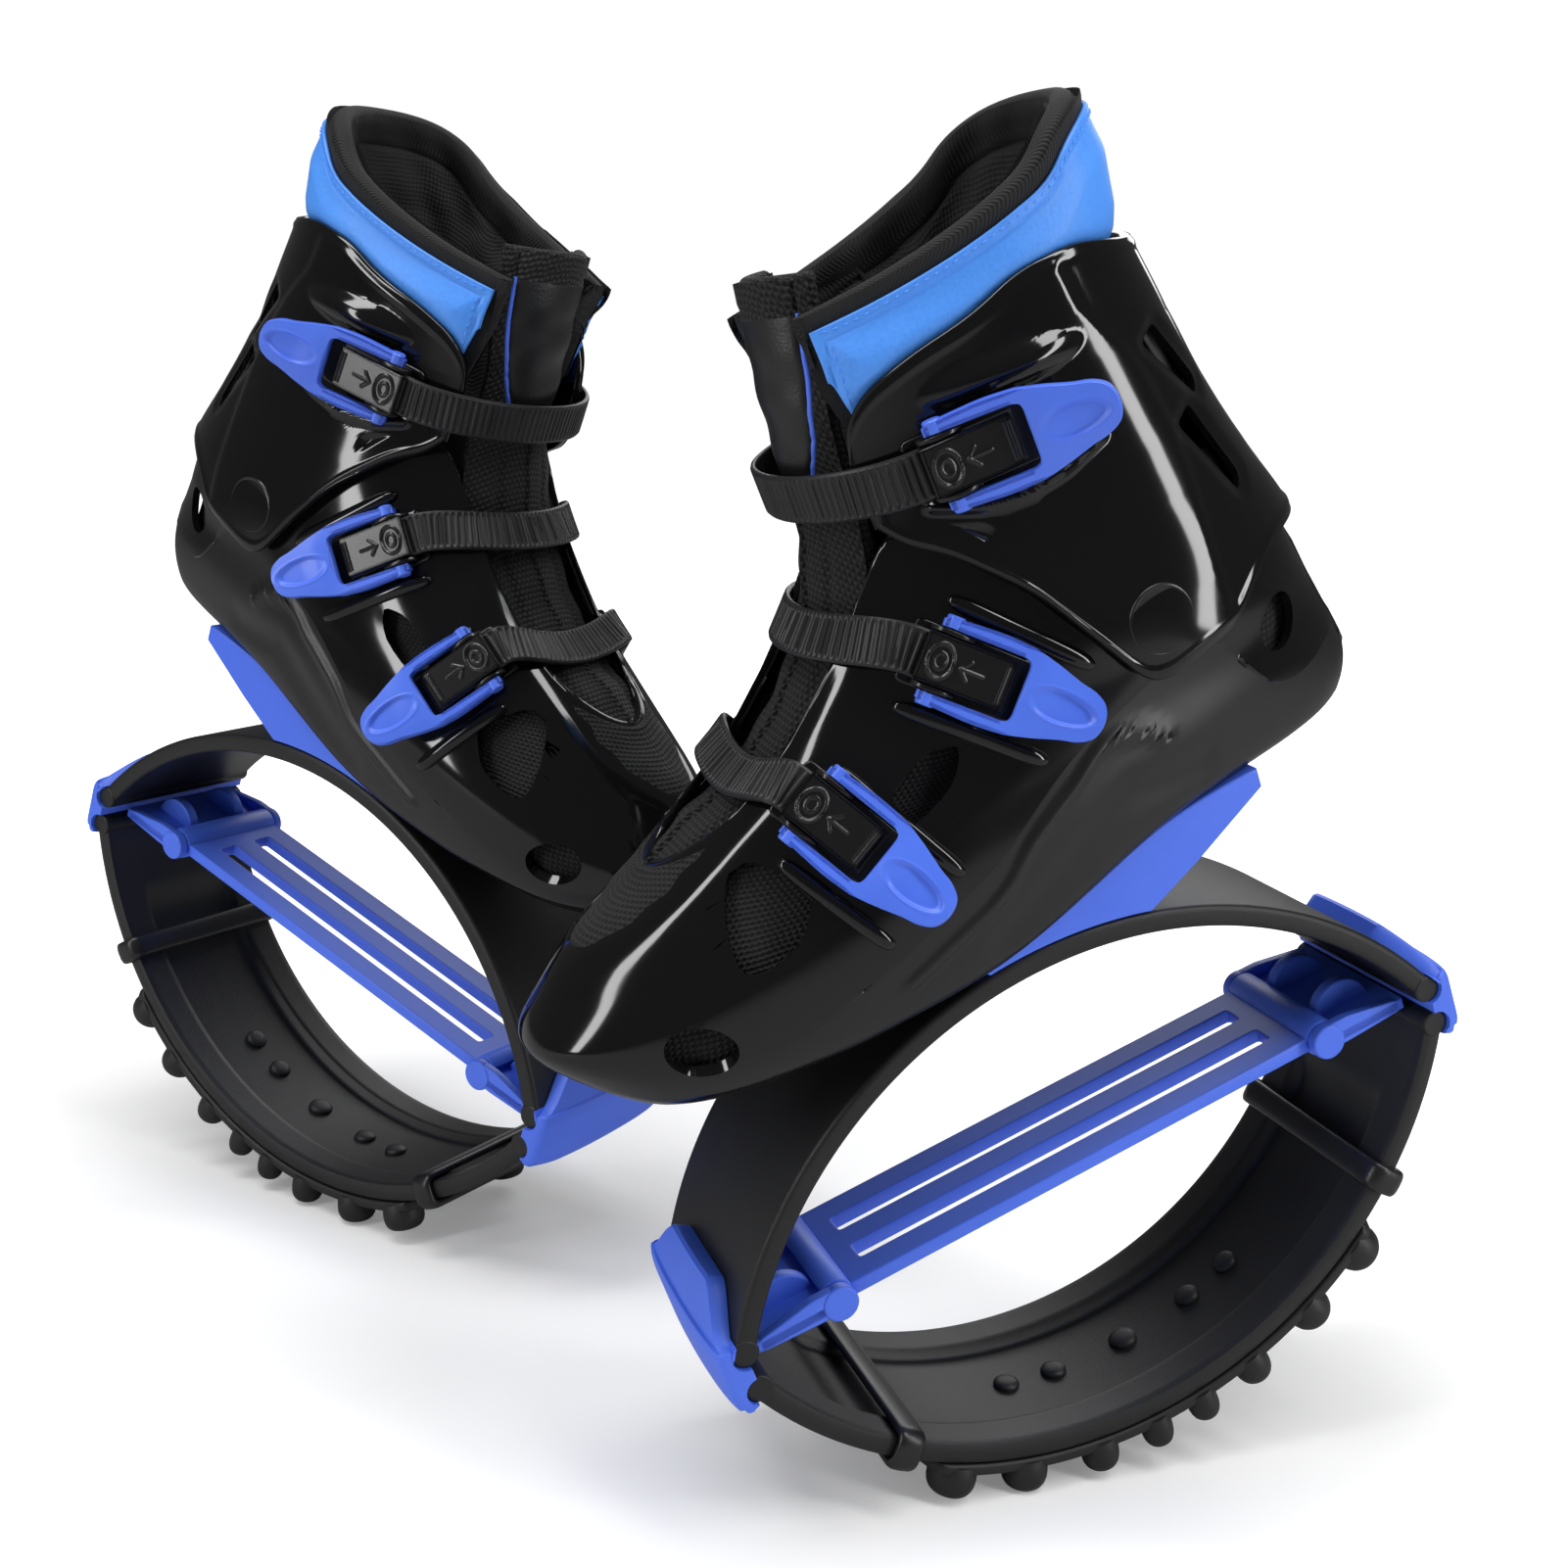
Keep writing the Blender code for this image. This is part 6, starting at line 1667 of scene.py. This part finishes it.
def tread_piece():
    """The rubber tread: a pad along the lower leaf, round lugs that bulge past its edge,
    and the heads of its plugs in the leaf's channel."""
    body = Body()
    wall, half = 0.0045, radians(37.5)
    angle, y = np.meshgrid(np.linspace(-half, half, 121), np.linspace(-0.041, 0.041, 41),
                           indexing="ij")
    at = lower_place(angle, 0.0045 + wall / 2)
    corner = step(np.abs(angle), half - 0.06, half)
    y = y * (1 - 0.30 * corner ** 2)
    p = facing(np.stack((at[..., 0], y, at[..., 1]), -1), (0, 0, -1))
    groove = -0.0012 * bell(np.abs(p[..., 1]) - 0.012, 0.0015)
    plate(body, p, wall, radius=0.0012, front=groove, steps=3)
    profile = np.array(((0.86, 0.0), (0.93, 0.14), (0.985, 0.32), (1.0, 0.50), (0.985, 0.66),
                        (0.93, 0.80), (0.84, 0.905), (0.76, 0.955), (0.66, 0.985),
                        (0.50, 1.0), (0.25, 1.0)))
    for degrees, share in ((3.5, 0.66), (11.7, 0.78), (22.2, 0.94), (32.3, 1.0)):
        for way in (-1, 1):
            for side in (-1, 1):
                r = share * 0.0092
                lug = turned_profile(Body(), profile * (r, 0.0125), 40)
                spot = on_lower_leaf(way * radians(degrees), 0.0058, side * (0.043 - r))
                body.add(lug.turned(spot))
    for degrees in (-19, -11.5, 0, 11.5, 19):
        r = 0.0056 if degrees == 0 else 0.0050
        head = [(0.0042, -0.008), (0.0042, 0.0), (r, 0.0), (r, 0.0009), (r * 0.9, 0.0017),
                (r * 0.62, 0.0022), (r * 0.3, 0.0024)]
        spot = on_lower_leaf(radians(degrees), 0.0002, turn=0)
        body.add(turned_profile(Body(), head, 28).turned(spot))
    return body


def band_piece(degrees):
    """A rubber band round the lower leaf: a rounded section carried round a rounded
    oblong, square to the leaf."""
    count, sides = 160, 20
    loop = rounded(oblong(-0.0428, 0.0428, -0.0062, 0.0062), 0.0040, 9)
    loop = even_line(np.vstack((loop, loop[:1])), count + 1)[:-1]
    way = normed(np.roll(loop, -1, 0) - np.roll(loop, 1, 0))
    out = np.stack((way[:, 1], -way[:, 0]), -1)
    turn = circle_turns(sides)
    s, c = np.sin(turn), np.cos(turn)
    along = 0.0053 * np.sign(c) * np.abs(c) ** 0.7
    deep = 0.0021 * np.sign(s) * np.abs(s) ** 0.85
    rings = np.stack((np.broadcast_to(along, (count, sides)),
                      loop[:, :1] + out[:, :1] * deep, loop[:, 1:] + out[:, 1:] * deep), -1)
    body = Body()
    body.grid(np.concatenate((rings, rings[:1])), wrap=True)
    return body.turned(on_lower_leaf(radians(degrees), 0))


def arc_points(cx, cz, radius, start, end, count):
    """Points along an arc of the side view."""
    turn = np.linspace(start, end, count)
    return np.stack((cx + radius * np.cos(turn), cz + radius * np.sin(turn)), -1)


def cap_piece(way):
    """An end cap: sockets whose skirts follow the two leaves and shorten towards the sides,
    joined by a domed nose; inside it a web with flanges, ears and discs, and the barrel
    that the spring hooks round."""
    wall, skin, socket, shoulder = 0.0036, 0.0044, 0.0054, 0.0090
    nip = np.arccos(skin / socket)
    trim = socket * sin(nip)
    upper_end = pi / 2 - asin(bead_x / upper_radius)
    lower_end = asin(bead_x / lower_radius) - pi / 2
    edge, round_edge = 0.0428, 0.0022
    turn = np.linspace(0, pi / 2, 5)
    near = edge - round_edge * (1 - np.sin(turn))
    draw = round_edge * (1 - np.cos(turn))
    y = np.r_[-near[::-1], np.linspace(-near[0], near[0], 83)[1:-1], near]
    draw = np.r_[draw[::-1], np.zeros(81), draw]
    fall = 0.016 * step(np.abs(y), 0.0185, 0.0415)
    dome = 0.0036 * np.sqrt(1 - np.clip(np.abs(y) / edge, 0, 1) ** 2) - draw
    rings = []
    for drop_by, swell, d in zip(fall, dome, draw):
        top = upper_end + (0.017 - drop_by - d) / upper_radius
        low = lower_end - (0.008 - 0.25 * drop_by - d) / lower_radius
        over, under = upper_radius + skin + wall + swell, lower_radius + skin + wall + swell
        rings.append(np.vstack((
            arc_points(bead_x, bead_z, socket, -pi / 2, upper_end + nip, 10),
            arc_points(0, upper_centre, upper_radius + skin, upper_end + trim / upper_radius,
                       top, 6),
            arc_points(0, upper_centre, over - 0.0012, top, top, 1),
            arc_points(0, upper_centre, over, top - 0.006, upper_end + 0.004, 6),
            arc_points(bead_x, bead_z, shoulder + swell, upper_end, 0.0, 9),
            arc_points(bead_x, -bead_z, shoulder + swell, 0.0, lower_end, 9),
            arc_points(0, lower_centre, under, lower_end - 0.004, low + 0.006, 5),
            arc_points(0, lower_centre, under - 0.0012, low, low, 1),
            arc_points(0, lower_centre, lower_radius + skin, low,
                       lower_end - trim / lower_radius, 5),
            arc_points(bead_x, -bead_z, socket, lower_end - nip, pi / 2, 10))))
    rings = np.array(rings)
    placed = np.stack((rings[..., 0], np.broadcast_to(y[:, None], rings.shape[:2]),
                       rings[..., 1]), -1)
    body = Body()
    body.grid(placed, wrap=True)
    for end in (0, -1):
        body.panel([rings[end]], placed[end])
    inner = bead_x - bead_radius - wall
    web = oblong(0.1045, inner + 0.004, -0.0022, 0.0022)
    slab(body, [web], -0.031, 0.031, SIDE, 0.0006)
    for side in (-1, 1):
        flange = rounded(((barrel_x, 0.0065), (0.1120, 0.0065), (inner + 0.002, 0.0024),
                          (inner + 0.002, -0.0024), (0.1120, -0.0035), (barrel_x, -0.0035)),
                         0.0015, 4)
        low, high = sorted((side * 0.031, side * 0.027))
        slab(body, [flange], low, high, SIDE, 0.0006)
        ear = arc_points(0.119, 0, 0.012, 0, pi, 25)
        ear = np.vstack((ear, arc_points(0.119, 0, 0.012, pi, 2 * pi, 25)[1:-1]))
        slab(body, [ear], side * 0.014 - 0.0025, side * 0.014 + 0.0025, SIDE, 0.0008)
        disc = arc_points(barrel_x, 0, 0.0067, 0, 2 * pi, 41)[:-1]
        low, high = sorted((side * 0.0269, side * 0.0314))
        slab(body, [disc], low, high, SIDE, 0.0008)
    barrel = arc_points(barrel_x, 0, 0.0042, 0, 2 * pi, 33)[:-1]
    slab(body, [barrel], -0.031, 0.031, SIDE, 0.0004)
    if way < 0:
        body.turned(Matrix.Diagonal((-1, 1, 1, 1)))
    return body


def spring_piece():
    """The tension spring: one plate slotted into three strips, with a C-shaped hook at each
    end that grips a cap's barrel."""
    body = Body()
    half, slot_reach, slot_middle, slot_half = 0.0265, 0.0874, 0.010367, 0.0046
    reach = barrel_x - 0.0058
    outline = rounded(oblong(-reach, reach, -half, half), 0.0004, 3)
    slots = [rounded(oblong(-slot_reach, slot_reach, middle - slot_half, middle + slot_half),
                     0.0014, 5) for middle in (-slot_middle, slot_middle)]
    slab(body, [outline] + slots, -0.00275, 0.00275, PLAN, 0.0007)
    opening = radians(50)
    for way in (-1, 1):
        outer = arc_points(barrel_x, 0, 0.0071, opening, 2 * pi - opening, 41)
        inner = arc_points(barrel_x, 0, 0.0046, 2 * pi - opening, opening, 31)
        hook = np.vstack((outer, inner)) * (way, 1)
        slab(body, [hook], -half, half, SIDE, 0.0005, steps=2, hold=0.0002)
    return body


def riser_piece():
    """The wedge between the sole and the upper leaf: its top follows the sole and its
    underside the leaf."""
    skin = 0.0045
    top = np.linspace(-0.098, 0.020, 28)
    seat = np.linspace(0.016, -0.046, 18)
    outline = np.vstack((np.column_stack((top, sole_height(top) - 0.0004)),
                         np.column_stack((seat, leaf_top(seat, skin))),
                         ((-0.070, float(leaf_top(-0.046, skin)) + 0.0104),
                          (-0.098, float(sole_height(-0.098)) - 0.0075))))
    return slab(Body(), [outline], -leaf_half, leaf_half, SIDE, 0.0008)


for shoe in stances:
    boot, cuff_body, unit = f"{shoe}_boot", f"{shoe}_cuff", f"{shoe}_spring_unit"
    spot = shoes[shoe]
    shell = boot_shell().add(sole_pad())
    for name in ("mid", "front"):
        seats(shell, name)
        shell.add(stud(name))
    make("shell", shell, shoe, [gloss], boot, ["boot_shell"], bevel=0.0005)
    cuff = seats(cuff_piece(), "top").add(stud("top"))
    make("hinged_cuff", cuff, shoe, [gloss], cuff_body, ["cuff"])
    soft = [make("collar_liner", ankle_liner(), shoe, [rim_cloth], cuff_body,
                 ["liner_ankle"]),
            make("collar_cover", collar_panel(), shoe, [blue_cloth, blue_cloth], cuff_body,
                 ["collar_panel"]),
            make("foot_padding", foot_liner(), shoe, [cloth], boot,
                 ["liner_foot"]),
            make("foot_bed", insole_pad(), shoe, [cloth], boot, ["insole"]),
            make("padded_tongue", tongue_piece(), shoe, [cloth, tongue_cloth, blue_lever], boot,
                 ["tongue"])]
    for name in buckles:
        base_body = cuff_body if name == "top" else boot
        make(f"{name}_ladder", strap_piece(name), shoe, [strap_finish], base_body,
             [f"{name}_strap"])
        make(f"{name}_frame", buckle_base(name), shoe, [satin], base_body,
             [f"{name}_buckle_base"])
        make(f"{name}_fork", lever_piece(name), shoe, [blue_lever], f"{shoe}_{name}_lever",
             [f"{name}_lever"])
        make(f"{name}_release", tab_piece(name), shoe, [satin], f"{shoe}_{name}_tab",
             [f"{name}_press_tab"])
    for name, side in (("outer", 1), ("inner", -1)):
        make(f"{name}_disc", ankle_disc(side), shoe, [satin], boot,
             [f"{name}_ankle_rivet"])
    upper_low, upper_high = (spot @ Vector((0, 0, z)) for z in (0.0075, 0.085))
    lower_low, lower_high = (spot @ Vector((0, 0, z)) for z in (-0.060, -0.0075))
    make("curved_upper_leaf", upper_leaf(), shoe, [leaf], (unit, boot, upper_low, upper_high),
         ["upper_arc"])
    make("curved_lower_leaf", lower_leaf(), shoe, [leaf], ("ground", unit, lower_low,
                                                           lower_high), ["lower_arc"])
    make("lugged_tread", tread_piece(), shoe, [tread_rubber], "ground", ["tread"])
    for name, degrees in (("front", 41.5), ("rear", -42.5)):
        make(f"{name}_ring", band_piece(degrees), shoe, [band], "ground",
             [f"{name}_band"])
    for name, way in (("front", 1), ("rear", -1)):
        make(f"{name}_end", cap_piece(way), shoe, [blue_frame], unit,
             [f"{name}_cap"])
    make("strip_spring", spring_piece(), shoe, [blue_frame], unit,
         ["tension_spring"])
    make("wedge", riser_piece(), shoe, [blue_frame], boot, ["riser"])

# Floor, with the shoes' soft shadow, and the pale surroundings
floor_finish = Finish("floor", Roughness=0.9, Specular_IOR_Level=0.0, Emission_Strength=1.0)
rays = floor_finish.node("ShaderNodeLightPath")
seen, mirrored = (floor_finish.value(rays, name) for name in ("Is Camera Ray",
                                                              "Is Glossy Ray"))
far = floor_finish.value(floor_finish.node("ShaderNodeVectorMath", {"operation": "LENGTH"},
                                           Vector=floor_finish.place()), "Value")
grain = floor_finish.noise(3.0, 2.0)
# The floor is half as light for glossy rays: painted shade in its reflection on the shoes
floor_finish.feed("Base Color", floor_finish.blend(mirrored, (0.90, 0.90, 0.90),
                                                   (0.45, 0.45, 0.45)))
glow = seen * (far.ramp(0.30, 0.9) * 0.84 + 0.17 + grain * 0.02)
floor_finish.feed("Emission Color", floor_finish.blend(glow, (0.0, 0.0, 0.0),
                                                       (1.0, 1.0, 1.0)))
floor_reach, floor_level = 6.0, cad_bounds[0][2] - 0.0005
floor_corners = oblong(-floor_reach, floor_reach, -floor_reach, floor_reach)
ground_mesh = bpy.data.meshes.new("floor")
ground_mesh.from_pydata([(x, y, floor_level) for x, y in floor_corners], [], [(0, 1, 2, 3)])
ground_mesh.materials.append(floor_finish.material)
ground_piece = bpy.data.objects.new("floor", ground_mesh)
bpy.context.scene.collection.objects.link(ground_piece)

world = bpy.data.worlds.new("surroundings")
bpy.context.scene.world = world
world.use_nodes = True
world.node_tree.nodes.clear()
net = Net(world.node_tree)
rays = net.node("ShaderNodeLightPath")
seen = net.value(rays, "Is Camera Ray").math("MAXIMUM", net.value(rays, "Is Transmission Ray"))
ambient, reflected, white = (net.value(net.node("ShaderNodeBackground", Strength=strength,
                                                Color=(1.0, 1.0, 1.0)))
                             for strength in (0.17, 0.09, 1.0))
lighting = net.node("ShaderNodeMixShader", None, {0: net.value(rays, "Is Glossy Ray"),
                                                  1: ambient, 2: reflected})
mixed = net.node("ShaderNodeMixShader", None, {0: seen, 1: net.value(lighting), 2: white})
net.node("ShaderNodeOutputWorld", Surface=net.value(mixed))


def lamp(name, place, target, size, power):
    """A soft rectangular lamp aimed at a place."""
    light = bpy.data.lights.new(name, "AREA")
    light.shape = "RECTANGLE"
    light.size, light.size_y = size
    light.energy = power
    made = bpy.data.objects.new(name, light)
    made.location = place
    made.rotation_euler = (Vector(target) - Vector(place)).to_track_quat("-Z", "Y").to_euler()
    bpy.context.scene.collection.objects.link(made)
    return made


centre = (0.0, 0.0, 0.24)
lamp("overhead_left", (-0.55, -0.25, 1.9), centre, (0.35, 1.4), 16)
lamp("overhead_right", (0.60, -0.45, 1.8), centre, (0.30, 1.4), 13)
lamp("left_box", (-1.5, -1.0, 0.9), centre, (0.22, 1.5), 12)
lamp("right_box", (1.5, -0.8, 0.8), centre, (0.22, 1.5), 12)
lamp("back_box", (0.4, 1.6, 1.1), centre, (1.4, 0.8), 9)

# The camera, at the photograph's angle; focal length and picture width are in its pixels
tilt, roll = radians(13.83), radians(3.08)
focal, picture_width, sensor_width = 1964, 1601, 36
left_from_camera = (0.1071, 0.6655, -0.2922)
up = np.array((sin(roll) * cos(tilt), -cos(roll) * cos(tilt), -sin(tilt)))
away = normed(np.array((0.0, 0.0, 1.0)) - up * up[2])
right = np.cross(away, up)
turned_to = np.stack((right, away, up))
view = bpy.data.cameras.new("camera")
view.sensor_width = sensor_width
view.lens = focal / picture_width * sensor_width
camera = bpy.data.objects.new("camera", view)
rotation = Matrix((turned_to[:, 0], -turned_to[:, 1], -turned_to[:, 2])).transposed()
at = np.array(shoes["left"].translation) - left_from_camera
camera.matrix_world = Matrix.Translation(at) @ rotation.to_4x4()
bpy.context.scene.collection.objects.link(camera)
bpy.context.scene.camera = camera
bpy.context.scene.view_settings.view_transform = "Standard"
